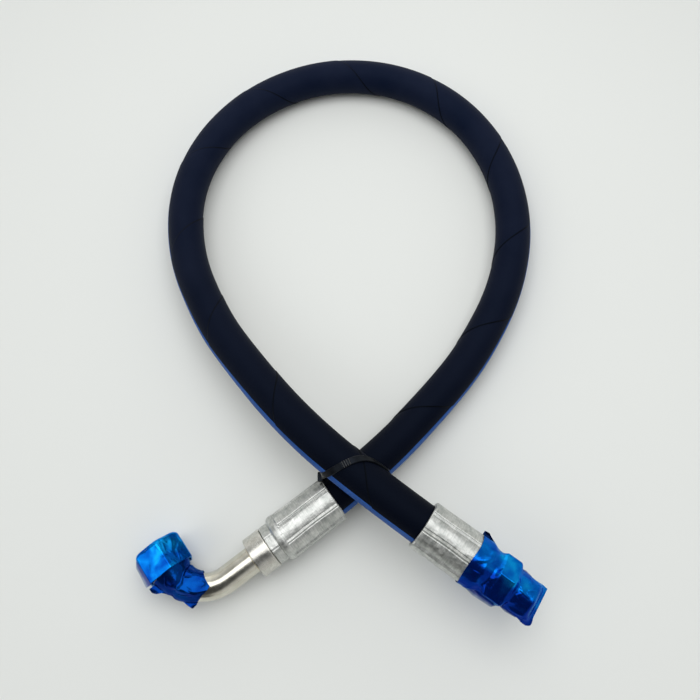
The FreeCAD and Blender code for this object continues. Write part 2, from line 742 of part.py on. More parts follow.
# Upper end
save("straight_stem", placed(stems["straight"][0], straight_end))
save("straight_ferrule", placed(ferrule(), straight_end))
save("straight_film_capsule", placed(straight_film_capsule(), straight_end))

# Tie
save("cable_tie", cable_tie())

limbs = Part.Wire(lower_limb).distToShape(Part.Wire(upper_limb))[0]
print("gap between the limbs at the crossing", round(limbs - 2 * HOSE_RADIUS, 2))
print("nut axis from", nut_frame.multVec(V(0, 0, 0)), "towards", nut_frame.Rotation.multVec(X))
print("nut mouth", nut_frame.multVec(V(nut_front, 0, 0)))
print("male thread end", straight_end.multVec(V(thread_end, 0, 0)), "axis", straight_end.Rotation.multVec(X))
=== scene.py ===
import bmesh
import bpy
import math
import numpy as np
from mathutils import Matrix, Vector


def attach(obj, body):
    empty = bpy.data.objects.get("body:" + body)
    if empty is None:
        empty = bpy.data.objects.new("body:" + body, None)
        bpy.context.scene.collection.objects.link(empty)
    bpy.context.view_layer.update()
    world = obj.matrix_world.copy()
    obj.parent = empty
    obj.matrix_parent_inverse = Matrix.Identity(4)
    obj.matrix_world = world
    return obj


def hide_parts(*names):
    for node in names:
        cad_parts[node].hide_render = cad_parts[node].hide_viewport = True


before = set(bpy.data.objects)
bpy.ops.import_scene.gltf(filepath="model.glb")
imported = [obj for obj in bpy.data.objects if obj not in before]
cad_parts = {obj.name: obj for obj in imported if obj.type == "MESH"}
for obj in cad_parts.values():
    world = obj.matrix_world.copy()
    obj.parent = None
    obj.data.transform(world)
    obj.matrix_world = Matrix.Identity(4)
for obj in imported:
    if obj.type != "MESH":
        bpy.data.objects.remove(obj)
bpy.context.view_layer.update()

# CAMERA
# The photograph looks down on the loop from half a metre up, tilted a little towards the loop's far end. Its
# place, tilt and lens are fitted to the hose's even width round the loop and to its height at the crossing.
camera_place = (0.0109, -0.0124, 0.49544)
camera_tilt = 19.249
lens_length, sensor_width = 31.886, 36.0


def add_object(name, data):
    """An object with this data, linked into the scene."""
    added = bpy.data.objects.new(name, data)
    bpy.context.scene.collection.objects.link(added)
    return added


camera_data = bpy.data.cameras.new("camera")
camera_data.lens, camera_data.sensor_width = lens_length, sensor_width
camera = add_object("camera", camera_data)
camera.location = camera_place
camera.rotation_euler = (math.radians(camera_tilt), 0.0, 0.0)
bpy.context.scene.camera = camera
bpy.context.scene.view_settings.view_transform = "Standard"

# FLOOR, LAMP AND ROOM
# The assembly lies on a plain pale table under one large soft lamp overhead. The room is bright all round,
# most at the far wall and a high window on the left, and dark in front and low on the left, which gives the
# plated parts their light and dark bands.
floor_half = 40.0
floor_level = -0.0002
floor_colour = (0.775, 0.79, 0.765, 1.0)
lamp_place, lamp_aim = (0.02, 0.32, 1.04), (0.0, 0.24, 0.0)
lamp_width, lamp_depth, lamp_watts = 1.15, 1.0, 7.15


def new_finish(name, **settings):
    """A material with one Principled shader, whose sockets take these settings, with its node tree and
    shader."""
    finish = bpy.data.materials.new(name)
    finish.use_nodes = True
    shader = finish.node_tree.nodes["Principled BSDF"]
    for socket, value in settings.items():
        shader.inputs[socket.replace("_", " ")].default_value = value
    return finish, finish.node_tree, shader


def add_node(tree, kind, inputs=None, **settings):
    """A node of a kind with its settings. Each input is a value or a socket to link from."""
    node = tree.nodes.new(kind)
    for key, value in settings.items():
        setattr(node, key, value)
    for key, value in (inputs or {}).items():
        if isinstance(value, bpy.types.NodeSocket):
            tree.links.new(value, node.inputs[key])
        else:
            node.inputs[key].default_value = value
    return node


def arithmetic(tree, operation, a, b=0.0):
    """One number worked out from two."""
    return add_node(tree, "ShaderNodeMath", {0: a, 1: b}, operation=operation).outputs["Value"]


def colour_steps(tree, source, stops):
    """A colour ramp through these places and colours."""
    ramp = add_node(tree, "ShaderNodeValToRGB", {"Fac": source})
    elements = ramp.color_ramp.elements
    while len(elements) < len(stops):
        elements.new(0.5)
    for element, (place, colour) in zip(elements, stops):
        element.position = place
        element.color = (*colour, 1.0)
    return ramp.outputs["Color"]


def step_between(tree, source, start, end, low=0.0, high=1.0, **settings):
    """One value up to start, another from end on, and what lies between them in between."""
    span = {"Value": source, "From Min": start, "From Max": end, "To Min": low, "To Max": high}
    return add_node(tree, "ShaderNodeMapRange", span, **settings).outputs["Result"]


def one_way(tree, vector, axis):
    """The X, Y or Z of a point."""
    return add_node(tree, "ShaderNodeSeparateXYZ", {"Vector": vector}).outputs[axis]


def room_patch(direction, rim, core, outside, inside):
    """A round patch of the room: one value where the cosine of the angle to its direction is under rim,
    another where it is over core, and a smooth step between them."""
    facing = add_node(room, "ShaderNodeVectorMath", {0: toward, 1: direction}, operation="DOT_PRODUCT")
    return step_between(room, facing.outputs["Value"], rim, core, outside, inside, interpolation_type="SMOOTHSTEP")


floor_mesh = bpy.data.meshes.new("floor")
floor_corners = [(x * floor_half, y * floor_half, floor_level) for x, y in ((-1, -1), (1, -1), (1, 1), (-1, 1))]
floor_mesh.from_pydata(floor_corners, [], [(0, 1, 2, 3)])
floor = add_object("floor", floor_mesh)
floor_mesh.materials.append(new_finish("floor_paint", Base_Color=floor_colour, Roughness=0.9)[0])

lamp_data = bpy.data.lights.new("lamp_overhead", "AREA")
lamp_data.shape = "RECTANGLE"
lamp_data.size, lamp_data.size_y, lamp_data.energy = lamp_width, lamp_depth, lamp_watts
lamp = add_object("lamp_overhead", lamp_data)
lamp.location = lamp_place
lamp.rotation_euler = (Vector(lamp_aim) - Vector(lamp_place)).to_track_quat("-Z", "Y").to_euler()

world = bpy.data.worlds.new("room")
bpy.context.scene.world = world
world.use_nodes = True
room = world.node_tree
toward = add_node(room, "ShaderNodeTexCoord").outputs["Generated"]
from_below = step_between(room, one_way(room, toward, "Z"), -1.0, 1.0)
wall_greys = [(0.40, (0.60, 0.60, 0.58)), (0.56, (0.68, 0.68, 0.66)), (0.95, (0.38, 0.39, 0.40))]
walls = colour_steps(room, from_below, wall_greys)
dark_in_front = room_patch((-0.12, -0.58, 0.806), 0.80, 0.95, 1.0, 0.16)
dark_low_left = room_patch((-0.476, -0.871, 0.114), 0.78, 0.93, 1.0, 0.22)
window = room_patch((-0.649, -0.300, 0.699), 0.915, 0.965, 0.0, 2.6)
far_wall = room_patch((0.0, 0.93, 0.368), 0.70, 0.90, 0.0, 0.9)
bright = arithmetic(room, "ADD", arithmetic(room, "MULTIPLY", dark_in_front, dark_low_left), window)
bright = arithmetic(room, "ADD", bright, far_wall)
dimmed = add_node(room, "ShaderNodeVectorMath", {0: walls, "Scale": bright}, operation="SCALE")
room.links.new(dimmed.outputs["Vector"], room.nodes["Background"].inputs["Color"])

# HOSE
# Two-wire rubber hose, 19 mm bore and 30 mm outside, bent into one loop and crossed over itself. It is built
# up from a rubber liner, two braids of brassed wire with thin rubber between them, and a cover cured under a
# wrap of wet nylon cloth, which leaves its weave and a spiral step in the rubber. Both cut ends are inside
# ferrules.
hose_points = [
    (-0.0363, 0.0101, 0.0184),
    (0.0269, 0.0575, 0.0184),
    (0.0835, 0.1170, 0.0150),
    (0.1140, 0.1555, 0.0150),
    (0.1445, 0.2125, 0.0150),
    (0.1575, 0.2765, 0.0150),
    (0.1470, 0.3415, 0.0150),
    (0.1115, 0.3985, 0.0150),
    (0.0555, 0.4330, 0.0150),
    (-0.0105, 0.4380, 0.0150),
    (-0.0715, 0.4130, 0.0150),
    (-0.1155, 0.3650, 0.0160),
    (-0.1355, 0.3030, 0.0194),
    (-0.1285, 0.2365, 0.0245),
    (-0.1020, 0.1795, 0.0312),
    (-0.0795, 0.1465, 0.0366),
    (-0.0293, 0.0860, 0.0488),
    (0.0322, 0.0361, 0.0488),
    (0.096864, -0.009275, 0.045293),
]
hose_bore = 0.0095
liner_outside = 0.0114
inner_braid_outside = 0.0122
interlayer_outside = 0.0126
outer_braid_outside = 0.0134
cover_outside = 0.0150
wrap_pitch = 0.0877
wrap_step = 0.00042
wrap_phase = 0.863
cloth_edge = 0.010
cloth_taper = 0.85


def smooth_line(name, control_points):
    """The points of the NURBS curve of order 3 that has these control points."""
    curve = bpy.data.curves.new(name, "CURVE")
    curve.dimensions = "3D"
    curve.resolution_u = 24
    spline = curve.splines.new("NURBS")
    spline.points.add(len(control_points) - 1)
    for point, place in zip(spline.points, control_points):
        point.co = (*place, 1.0)
    spline.order_u = 3
    spline.use_endpoint_u = True
    drawn = bpy.data.objects.new(name, curve)
    mesh = bpy.data.meshes.new_from_object(drawn)
    line = np.empty(len(mesh.vertices) * 3)
    mesh.vertices.foreach_get("co", line)
    bpy.data.objects.remove(drawn)
    bpy.data.meshes.remove(mesh)
    return line.reshape(-1, 3)


def unit(vectors):
    """The same directions with length 1."""
    return vectors / np.linalg.norm(vectors, axis=-1, keepdims=True)


def reach_along(line):
    """Each point's distance from the start of a line, measured along it."""
    return np.concatenate([[0.0], np.cumsum(np.linalg.norm(np.diff(line, axis=0), axis=1))])


def evenly(line, steps):
    """Points at equal distances along a line, each with its distance from the start."""
    reach = reach_along(line)
    at = np.linspace(0.0, reach[-1], steps)
    return np.stack([np.interp(at, reach, line[:, i]) for i in range(3)], axis=1), at


def level_frames(line):
    """At each point the level direction square to the line on the loop's outer side, and the direction square
    to that and to the line, which points nearly up."""
    way = unit(np.gradient(line, axis=0))
    outer = unit(np.cross(way, [0.0, 0.0, 1.0]))
    return outer, np.cross(outer, way)


def round_line(line, outer, up, radius, angle):
    """Points round a line: each a radius away, at an angle from the outer direction towards up."""
    spoke = np.cos(angle)[..., None] * outer[:, None, :] + np.sin(angle)[..., None] * up[:, None, :]
    return line[:, None, :] + radius[..., None] * spoke


def closed(rows):
    """The rows with the first one again at the end."""
    return np.concatenate([rows, rows[:1]])


def surface_map(along, turn):
    """A piece's own map: u is a distance along it and v the share of a whole turn round it."""
    return np.stack(np.broadcast_arrays(along, turn / (2 * math.pi)), axis=-1)


def skin(name, node, grid, uv, finish, slot, body="hose_and_ends", smooth_to=None):
    """Joins a grid of points, rows by columns, into four-sided faces. Rows and columns that end where they
    began are joined there, and a row that is all one point becomes a pole. Edges that bend by more than
    smooth_to degrees stay sharp. The piece rides on its body and stands for its node."""
    rows, columns = grid.shape[:2]
    index = np.arange(rows * columns).reshape(rows, columns)
    faces = np.stack([index[:-1, :-1], index[1:, :-1], index[1:, 1:], index[:-1, 1:]], axis=-1).reshape(-1, 4)
    mesh = bpy.data.meshes.new(name)
    mesh.from_pydata(grid.reshape(-1, 3).tolist(), [], faces.tolist())
    layer = mesh.uv_layers.new(name="surface")
    layer.uv.foreach_set("vector", np.asarray(uv, float).reshape(-1, 2)[faces.ravel()].ravel())
    work = bmesh.new()
    work.from_mesh(mesh)
    bmesh.ops.remove_doubles(work, verts=work.verts, dist=1e-6)
    bmesh.ops.recalc_face_normals(work, faces=work.faces)
    work.to_mesh(mesh)
    work.free()
    mesh.shade_smooth()
    if smooth_to is not None:
        mesh.set_sharp_from_angle(angle=math.radians(smooth_to))
    mesh.materials.append(finish)
    piece = add_object(name, mesh)
    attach(piece, body)
    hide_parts(node)
    return piece


hose_line = smooth_line("hose_route", hose_points)


def hose_layer(name, node, outside, inside, rows, columns, finish, slot, spiral=False):
    """A tube along the hose's line: its outer wall from start to end and its inner wall back, each point a
    radius away from the line at its own angle. With a spiral, the columns follow the wrap, and the outer wall
    falls by the wrap's step from one edge of the cloth to the next."""
    line, at = evenly(hose_line, rows)
    outer, up = level_frames(line)
    there_and_back = np.concatenate([np.arange(rows), np.arange(rows)[::-6]])
    line, at, outer, up = line[there_and_back], at[there_and_back], outer[there_and_back], up[there_and_back]
    turn = np.linspace(0.0, 1.0, columns + 1)
    if spiral:
        turn = np.concatenate([[0.0, 0.004, cloth_edge, 0.018], np.linspace(0.03, 1.0, columns - 3)])
    radius = np.full((len(line), len(turn)), inside)
    radius[:rows] = outside
    angle = 2 * math.pi * turn[None, :]
    if spiral:
        angle = angle - 2 * math.pi * (at[:, None] / wrap_pitch - wrap_phase)
        taper = 1.0 - cloth_taper * np.clip((turn - cloth_edge) / (1.0 - cloth_edge), 0.0, 1.0)
        fall = np.clip(turn / cloth_edge, 0.0, 1.0) * taper
        fall[-1] = 0.0
        radius[:rows] += (fall - 1.0) * wrap_step
    grid = closed(round_line(line, outer, up, radius, angle))
    uv = np.stack(np.broadcast_arrays(closed(at)[:, None], turn), axis=-1)
    return skin(name, node, grid, uv, finish, slot)


def surface_place(tree, along, around):
    """The piece's own map, with u times along and v times around, as a point for a pattern."""
    source = add_node(tree, "ShaderNodeUVMap", uv_map="surface")
    place = add_node(tree, "ShaderNodeMapping", {"Vector": source.outputs["UV"], "Scale": (along, around, 1.0)})
    return place.outputs["Vector"]


def spots(tree, vector, scale, detail=4.0, roughness=0.55, distortion=0.0):
    """Soft spots of noise, from 0 to 1."""
    settings = {"Vector": vector, "Scale": scale, "Detail": detail, "Roughness": roughness, "Distortion": distortion}
    return add_node(tree, "ShaderNodeTexNoise", settings).outputs["Fac"]


def object_place(tree):
    """The point itself, in metres."""
    return add_node(tree, "ShaderNodeTexCoord").outputs["Object"]


def waves(tree, vector, direction):
    """Even waves from 0 to 1 along one direction."""
    inputs = {"Vector": vector, "Scale": 1.0}
    return add_node(tree, "ShaderNodeTexWave", inputs, bands_direction=direction).outputs["Fac"]


def together(tree, operation, a, b):
    """One colour worked out from two, channel by channel."""
    return add_node(tree, "ShaderNodeVectorMath", {0: a, 1: b}, operation=operation).outputs["Vector"]


def paint(tree, shader, source, stops):
    """The shader's colour runs through these stops with the source."""
    tree.links.new(colour_steps(tree, source, stops), shader.inputs["Base Color"])


def polish(tree, shader, source, start, end, low, high):
    """The shader's roughness runs from low to high while the source runs from start to end."""
    tree.links.new(step_between(tree, source, start, end, low, high), shader.inputs["Roughness"])


def relief(tree, shader, height, strength, distance):
    """Bumps of this strength on the shader's surface."""
    bump = add_node(tree, "ShaderNodeBump", {"Height": height, "Strength": strength, "Distance": distance})
    tree.links.new(bump.outputs["Normal"], shader.inputs["Normal"])


def spotted_finish(name, scale, stops, strength, distance, **settings):
    """A finish whose colour and bumps both follow the same soft spots."""
    finish, tree, shader = new_finish(name, **settings)
    pattern = spots(tree, object_place(tree), scale)
    paint(tree, shader, pattern, stops)
    relief(tree, shader, pattern, strength, distance)
    return finish


liner_blacks = [(0.3, (0.010, 0.010, 0.011)), (0.8, (0.024, 0.024, 0.025))]
liner_rubber = spotted_finish("liner_rubber", 240.0, liner_blacks, 0.2, 0.0002, Roughness=0.6)

braid_wire, tree, shader = new_finish("braid_wire", Metallic=1.0, Roughness=0.35)
strands = waves(tree, surface_place(tree, 260.0, 8.0), "DIAGONAL")
paint(tree, shader, strands, [(0.2, (0.20, 0.14, 0.06)), (0.8, (0.62, 0.50, 0.27))])
relief(tree, shader, strands, 0.5, 0.0003)

cover_rubber, tree, shader = new_finish(
    "cover_rubber", Roughness=0.60, Specular_IOR_Level=0.08, Specular_Tint=(0.55, 0.72, 1.0, 1.0)
)
here = object_place(tree)
bloom = spots(tree, here, 22.0, detail=6.0)
rubber = colour_steps(tree, bloom, [(0.30, (0.0028, 0.0065, 0.0275)), (0.70, (0.0085, 0.0138, 0.0412))])
# Painted shade: a thin dark line runs along the wrap's step. It is darkest at the cloth's edge and fades to the
# rubber's own colour within two hundredths of a turn.
step_painted_shade_greys = [(0.0, (0.08, 0.08, 0.08)), (0.010, (0.10, 0.10, 0.10)), (0.020, (1.0, 1.0, 1.0))]
painted_step_shade = colour_steps(tree, one_way(tree, surface_place(tree, 1.0, 1.0), "Y"), step_painted_shade_greys)
# Painted light: the rubber's colour is multiplied by a gradient along the loop. It is dark towards the loop's near
# end and lighter towards its far end, as if more light came from the far side. The same name elsewhere holds the
# plated parts' own random mottle.
towards_far_end = arithmetic(tree, "MULTIPLY", one_way(tree, here, "Y"), 2.0)
painted_far_light_greys = [(0.10, (0.16, 0.16, 0.16)), (0.50, (0.64, 0.60, 0.52)), (0.84, (1.0, 0.88, 0.70))]
mottle_and_painted_light = colour_steps(tree, towards_far_end, painted_far_light_greys)
rubber_with_painted_shade_and_light = together(tree, "MULTIPLY", together(tree, "MULTIPLY", rubber, painted_step_shade), mottle_and_painted_light)
tree.links.new(rubber_with_painted_shade_and_light, shader.inputs["Base Color"])
weave_place = surface_place(tree, 1600.0, 150.0)
weave = arithmetic(tree, "MULTIPLY", waves(tree, weave_place, "X"), waves(tree, weave_place, "Y"))
relief(tree, shader, arithmetic(tree, "ADD", weave, spots(tree, here, 900.0, detail=3.0)), 0.25, 0.00006)
polish(tree, shader, bloom, 0.3, 0.7, 0.55, 0.66)

inside = hose_bore
for name, node, outside, finish, slot in (
    ("rubber_liner", "hose_liner", liner_outside, liner_rubber, "liner_rubber"),
    ("first_braid", "inner_wire_braid", inner_braid_outside, braid_wire, "braid_wire"),
    ("rubber_between_braids", "braid_interlayer", interlayer_outside, liner_rubber, "liner_rubber"),
    ("second_braid", "outer_wire_braid", outer_braid_outside, braid_wire, "braid_wire"),
):
    hose_layer(name, node, outside, inside, 241, 40, finish, slot)
    inside = outside
cover = hose_layer(
    "wrapped_cover", "hose_cover", cover_outside, inside, 601, 84, cover_rubber, "cover_rubber", spiral=True
)

# LAYLINE
# A narrow blue tape cured into the cover along the outer side of the loop, plain along its whole length. It
# starts and stops inside the mouths of the two ferrules.
ferrule_mouth = -0.0430
tape_past_mouth = 0.002
tape_half_angle = 21.0
tape_rise_at_ends = 10.0
tape_rise_in_loop = -13.0
tape_swing_start, tape_swing_share = 0.10, 0.78
tape_depth = 0.0003
tape_proud = 0.00006
tape_columns = 17


def with_end_points(grid):
    """The grid with a row before and a row after it that are one point each, the mean of the row beside
    them."""
    first, last = grid[:1].mean(axis=1, keepdims=True), grid[-1:].mean(axis=1, keepdims=True)
    return np.concatenate([np.broadcast_to(first, grid[:1].shape), grid, np.broadcast_to(last, grid[:1].shape)])


def layline():
    """A strip of the cover's surface carried along the hose's line, with a back inside it. Its rise above
    level swings from one value at the ends to another in the loop, as a half sine to the power 0.8."""
    line, at = evenly(hose_line, 561)
    outer, up = level_frames(line)
    shown = (at > -ferrule_mouth - tape_past_mouth) & (at < at[-1] + ferrule_mouth + tape_past_mouth)
    line, at, outer, up = line[shown], at[shown], outer[shown], up[shown]
    swing = np.clip((at / at[-1] - tape_swing_start) / tape_swing_share, 0.0, 1.0)
    middle = np.sin(np.pi * swing) ** 0.8
    rise = tape_rise_at_ends + (tape_rise_in_loop - tape_rise_at_ends) * middle
    angle = np.radians(rise[:, None] + np.linspace(-tape_half_angle, tape_half_angle, tape_columns))
    inner_columns = np.minimum(np.arange(tape_columns), np.arange(tape_columns)[::-1]).clip(0, 1)
    top = cover_outside - wrap_step / 2 + (tape_proud + wrap_step / 2) * inner_columns
    radius = np.concatenate([top, np.full(tape_columns, cover_outside - tape_depth), top[:1]])
    turns = np.concatenate([angle, angle[:, ::-1], angle[:, :1]], axis=1)
    grid = with_end_points(round_line(line, outer, up, radius[None, :], turns))
    at = np.concatenate([at[:1], at, at[-1:]])
    turns = np.concatenate([turns[:1], turns, turns[-1:]])
    return grid, surface_map(at[:, None], turns)


stripe, tree, shader = new_finish("stripe", Roughness=0.5, Specular_IOR_Level=0.08)
wear = spots(tree, object_place(tree), 60.0, detail=8.0, roughness=0.65)
paint(tree, shader, wear, [(0.30, (0.016, 0.070, 0.27)), (0.75, (0.038, 0.118, 0.40))])
relief(tree, shader, spots(tree, object_place(tree), 900.0, detail=3.0), 0.2, 0.00006)
skin("blue_tape_line", "layline_stripe", *layline(), stripe, "stripe", smooth_to=50)

# FERRULES
# Soft steel shells, zinc plated and crimped on the hose in eight dies. Each die leaves a flat, the steel
# squeezed out between the dies stands up as a narrow bright ridge, and the shoulder and the clenched neck
# stay round.
elbow_origin = np.array([-0.0363, 0.0101, 0.0184])
elbow_out = np.array([-0.8, -0.6, 0.0])
straight_origin = np.array([0.096864, -0.009275, 0.045293])
straight_out = np.array([0.817774, -0.573828, -0.044354])
ferrule_shoulder = 0.0065
ferrule_end = 0.0142
ridge_radius = 0.0184
flat_radius = 0.0177
neck_radius = 0.0155
neck_flats = 0.0150
ferrule_bore = 0.0151
shank_bore = 0.01265
dies = 8
ridge_spread = 0.036
groove_depth, groove_off, groove_spread = 0.00032, 0.080, 0.016
die_crown = 0.00012
die_end_back = 0.0052
shoulder_start, shoulder_length = 0.0034, 0.0042
mouth_break = 0.0006


def end_frame(origin, out):
    """Origin, the way out of the hose, the level direction square to it, and the one nearest to up."""
    out = unit(out)
    side = unit(np.cross([0.0, 0.0, 1.0], out))
    return origin, out, side, np.cross(out, side)


def full_turn(steps):
    """Angles all the way round, with the first one again at the end."""
    return np.linspace(0.0, 2 * math.pi, steps + 1)[None, :]


def round_piece(place, stations, radii, angles):
    """Points at stations along a frame's axis, each a radius away at an angle from up, positive towards the
    side. Stations and radii may change with the angle."""
    origin, out, side, up = place
    stations, radii, angles = np.broadcast_arrays(stations, radii, angles)
    spoke = np.sin(angles)[..., None] * side + np.cos(angles)[..., None] * up
    return origin + stations[..., None] * out + radii[..., None] * spoke


def turned_piece(place, rows, turn):
    """Rows of stations and radii, each one value or one for each angle, carried round a frame's axis and back
    to the first row."""
    ones = np.ones_like(turn)
    stations = closed(np.concatenate([x * ones for x, r in rows]))
    radii = closed(np.concatenate([r * ones for x, r in rows]))
    return round_piece(place, stations, radii, turn), surface_map(stations, turn)


def ease(x, start, end):
    """0 before start and 1 after end, with a smooth rise between them."""
    t = np.clip((x - start) / (end - start), 0.0, 1.0)
    return t * t * (3 - 2 * t)


def bell(x, spread):
    """1 at 0 and falling on both sides: the exponential of less the square of x over its spread."""
    return np.exp(-((x / spread) ** 2))


def ferrule(place, roll, seed):
    """The die's arc all round, with a narrow bell-shaped ridge at each of its eight edges and a fine groove
    on each side of it. The ridges wander a little, and end where the die ends, before the round shoulder."""
    turn = full_turn(640)
    from_die = (turn - math.radians(roll)) % (2 * math.pi)
    x = np.concatenate([
        np.linspace(ferrule_mouth, ferrule_mouth + 0.0012, 6),
        np.linspace(ferrule_mouth + 0.0018, ferrule_shoulder - 0.0095, 44),
        np.linspace(ferrule_shoulder - 0.0090, ferrule_shoulder, 30),
        np.linspace(ferrule_shoulder + 0.0002, ferrule_end - 0.0005, 16),
        [ferrule_end - 0.0002, ferrule_end],
    ])[:, None]
    rng = np.random.default_rng(seed)
    step = 2 * math.pi / dies
    which = (from_die / step).astype(int) % dies
    wander = 0.012 * np.sin(x * rng.uniform(120, 260, dies)[which] + rng.uniform(0, 6, dies)[which])
    edge = from_die % step - step / 2 + wander
    height = rng.uniform(0.00060, 0.00085, dies)[which]
    ridge = height * bell(edge, ridge_spread) - groove_depth * bell(np.abs(edge) - groove_off, groove_spread)
    crimped = flat_radius - die_crown * np.cos(edge / (step / 2) * math.pi) + ridge
    die_end = ferrule_shoulder - die_end_back + rng.uniform(-0.0007, 0.0007, dies)[which]
    into = ease(x, die_end - 0.0009, die_end + 0.0011)
    dent = 0.0004 * np.exp(-(((x - die_end) / 0.0007) ** 2) - (edge / 0.07) ** 2)
    outside = crimped * (1 - into) + (ridge_radius - 0.00015) * into - dent
    bow = die_crown * np.sin(np.clip((x - ferrule_mouth) / 0.042, 0.0, 1.0) * math.pi)
    outside = outside - bow * (1 - into)
    fall = np.clip((x - (ferrule_shoulder - shoulder_start)) / shoulder_length, 0.0, 1.0)
    drop = 1 - np.sqrt(1 - np.clip(fall, 0.0, 0.999) ** 2)
    off = (from_die + step / 2) % step - step / 2
    neck = np.minimum(neck_flats / np.cos(off), neck_radius) + 0.00025 * bell(edge, 0.035)
    shoulder = np.maximum(outside - (ridge_radius - neck_radius) * drop, neck)
    outside = np.where(x < ferrule_shoulder + 0.0008, shoulder, neck)
    outside = outside - mouth_break * (1 - np.clip((x - ferrule_mouth) / 0.0008, 0.0, 1.0)) ** 2
    outside = outside - 0.0004 * np.clip((x - ferrule_end + 0.0004) / 0.0004, 0.0, 1.0) ** 2
    inner_x = np.array([ferrule_end, 0.0012, 0.0012, ferrule_mouth + 0.0006, ferrule_mouth])[:, None]
    inner_r = np.array([shank_bore, shank_bore, ferrule_bore, ferrule_bore, ferrule_bore + 0.0005])[:, None]
    return turned_piece(place, [(x, outside), (inner_x, inner_r)], turn)


def plus_share(tree, a, b, share):
    """One number plus a share of another."""
    return arithmetic(tree, "ADD", a, arithmetic(tree, "MULTIPLY", b, share))


zinc_ferrule, tree, shader = new_finish("zinc_ferrule", Metallic=1.0, Roughness=0.45)
here = object_place(tree)
frost = spots(tree, here, 420.0, detail=5.0, roughness=0.6)
die_marks = spots(tree, surface_place(tree, 1300.0, 14.0), 1.0, detail=3.0)
spangle = spots(tree, here, 140.0, detail=3.0, distortion=0.6)
grain = plus_share(tree, arithmetic(tree, "MULTIPLY", frost, 0.3), die_marks, 0.35)
mottle = plus_share(tree, grain, spangle, 0.35)
paint(tree, shader, mottle, [(0.38, (0.36, 0.38, 0.36)), (0.50, (0.52, 0.53, 0.51)), (0.62, (0.70, 0.71, 0.68))])
polish(tree, shader, frost, 0.35, 0.65, 0.32, 0.50)
hollows = spots(tree, surface_place(tree, 110.0, 34.0), 1.0, detail=2.0)
marks = plus_share(tree, plus_share(tree, die_marks, frost, 0.5), hollows, 3.0)
relief(tree, shader, marks, 0.45, 0.00022)

elbow_place = end_frame(elbow_origin, elbow_out)
straight_place = end_frame(straight_origin, straight_out)
for name, node, place, roll, seed in (
    ("crimped_shell_elbow_end", "elbow_ferrule", elbow_place, 0.0, 3),
    ("crimped_shell_straight_end", "straight_ferrule", straight_place, 8.5, 8),
):
    skin(name, node, *ferrule(place, roll, seed), zinc_ferrule, "zinc_ferrule", smooth_to=50)

# ELBOW STEM
# Turned from bar: the barbed tail inside the hose, and the round collar that shows past the ferrule's neck.
# It keeps the fine rings of the lathe tool under bright zinc plating.
collar_start = 0.0145
collar_end = 0.0283
collar_radius = 0.0156
edge_break = 0.0006
rounded_edge = [(0.0, 1.0), (0.4, 0.25), (1.0, 0.0), (1.6, 0.0)]
stem_bore = 0.0075
tail_radius = 0.0095
barb_height = 0.0004
barb_pitch = 0.008
barb_count = 4
socket_radius = 0.01005
socket_floor = 0.0193
groove_radius = 0.0112
groove_start, groove_end = 0.00785, 0.01285
shank_radius = 0.0125


def closed_profile(corners, place):
    """An outline of stations and radii turned round the frame's axis, back to where it began."""
    outline = closed(np.array(corners))
    turn = full_turn(160)
    grid = round_piece(place, outline[:, :1], outline[:, 1:], turn)
    return grid, surface_map(reach_along(outline)[:, None], turn)


def tail_corners():
    """The barbed tail's outline, from its tip to the face of the collar or hexagon."""
    tip = ferrule_mouth + 0.003
    corners = [(tip, stem_bore), (tip, tail_radius - barb_height), (tip + barb_height, tail_radius)]
    for i in range(barb_count):
        at = tip + barb_pitch * (i + 0.5)
        top = at + barb_pitch / 2
        corners += [(at, tail_radius), (top, tail_radius + barb_height), (top, tail_radius)]
    return corners + [
        (0.0, tail_radius),
        (0.0, shank_radius),
        (groove_start, shank_radius),
        (groove_start, groove_radius),
        (groove_end, groove_radius),
        (groove_end, shank_radius),
        (collar_start, shank_radius),
    ]


zinc_steel, tree, shader = new_finish("zinc_steel", Metallic=1.0, Roughness=0.24)
mottle_and_painted_light = spots(tree, object_place(tree), 160.0, detail=4.0)
paint(tree, shader, mottle_and_painted_light, [(0.35, (0.50, 0.49, 0.45)), (0.65, (0.66, 0.65, 0.60))])
polish(tree, shader, mottle_and_painted_light, 0.3, 0.7, 0.18, 0.34)
relief(tree, shader, spots(tree, surface_place(tree, 5200.0, 0.8), 1.0, detail=2.0), 0.22, 0.00008)

near_edge = [(collar_start + edge_break * a, collar_radius - edge_break * b) for a, b in rounded_edge]
far_edge = [(collar_end - edge_break * a, collar_radius - edge_break * b) for a, b in rounded_edge[::-1]]
socket = [(collar_end, socket_radius), (socket_floor, socket_radius), (socket_floor, stem_bore)]
grid, uv = closed_profile(tail_corners() + near_edge + far_edge + socket, elbow_place)
skin("turned_stem_elbow_end", "elbow_stem", grid, uv, zinc_steel, "zinc_steel", smooth_to=28)

# ELBOW TUBE
# Drawn steel tube, 20 mm outside, bent a quarter turn before plating. The mandrel and wiper leave it smoother
# than the turned parts, so it mirrors the room in long bands.
elbow_reach = 0.0809
bend_radius = 0.0300
tube_radius = 0.0100
tube_bore = 0.0075
tube_past_bend = 0.0365
bend_flattening = 0.018
nut_out = np.array([-0.6, 0.8, 0.0])
nut_place = end_frame(elbow_origin + elbow_out * elbow_reach, nut_out)


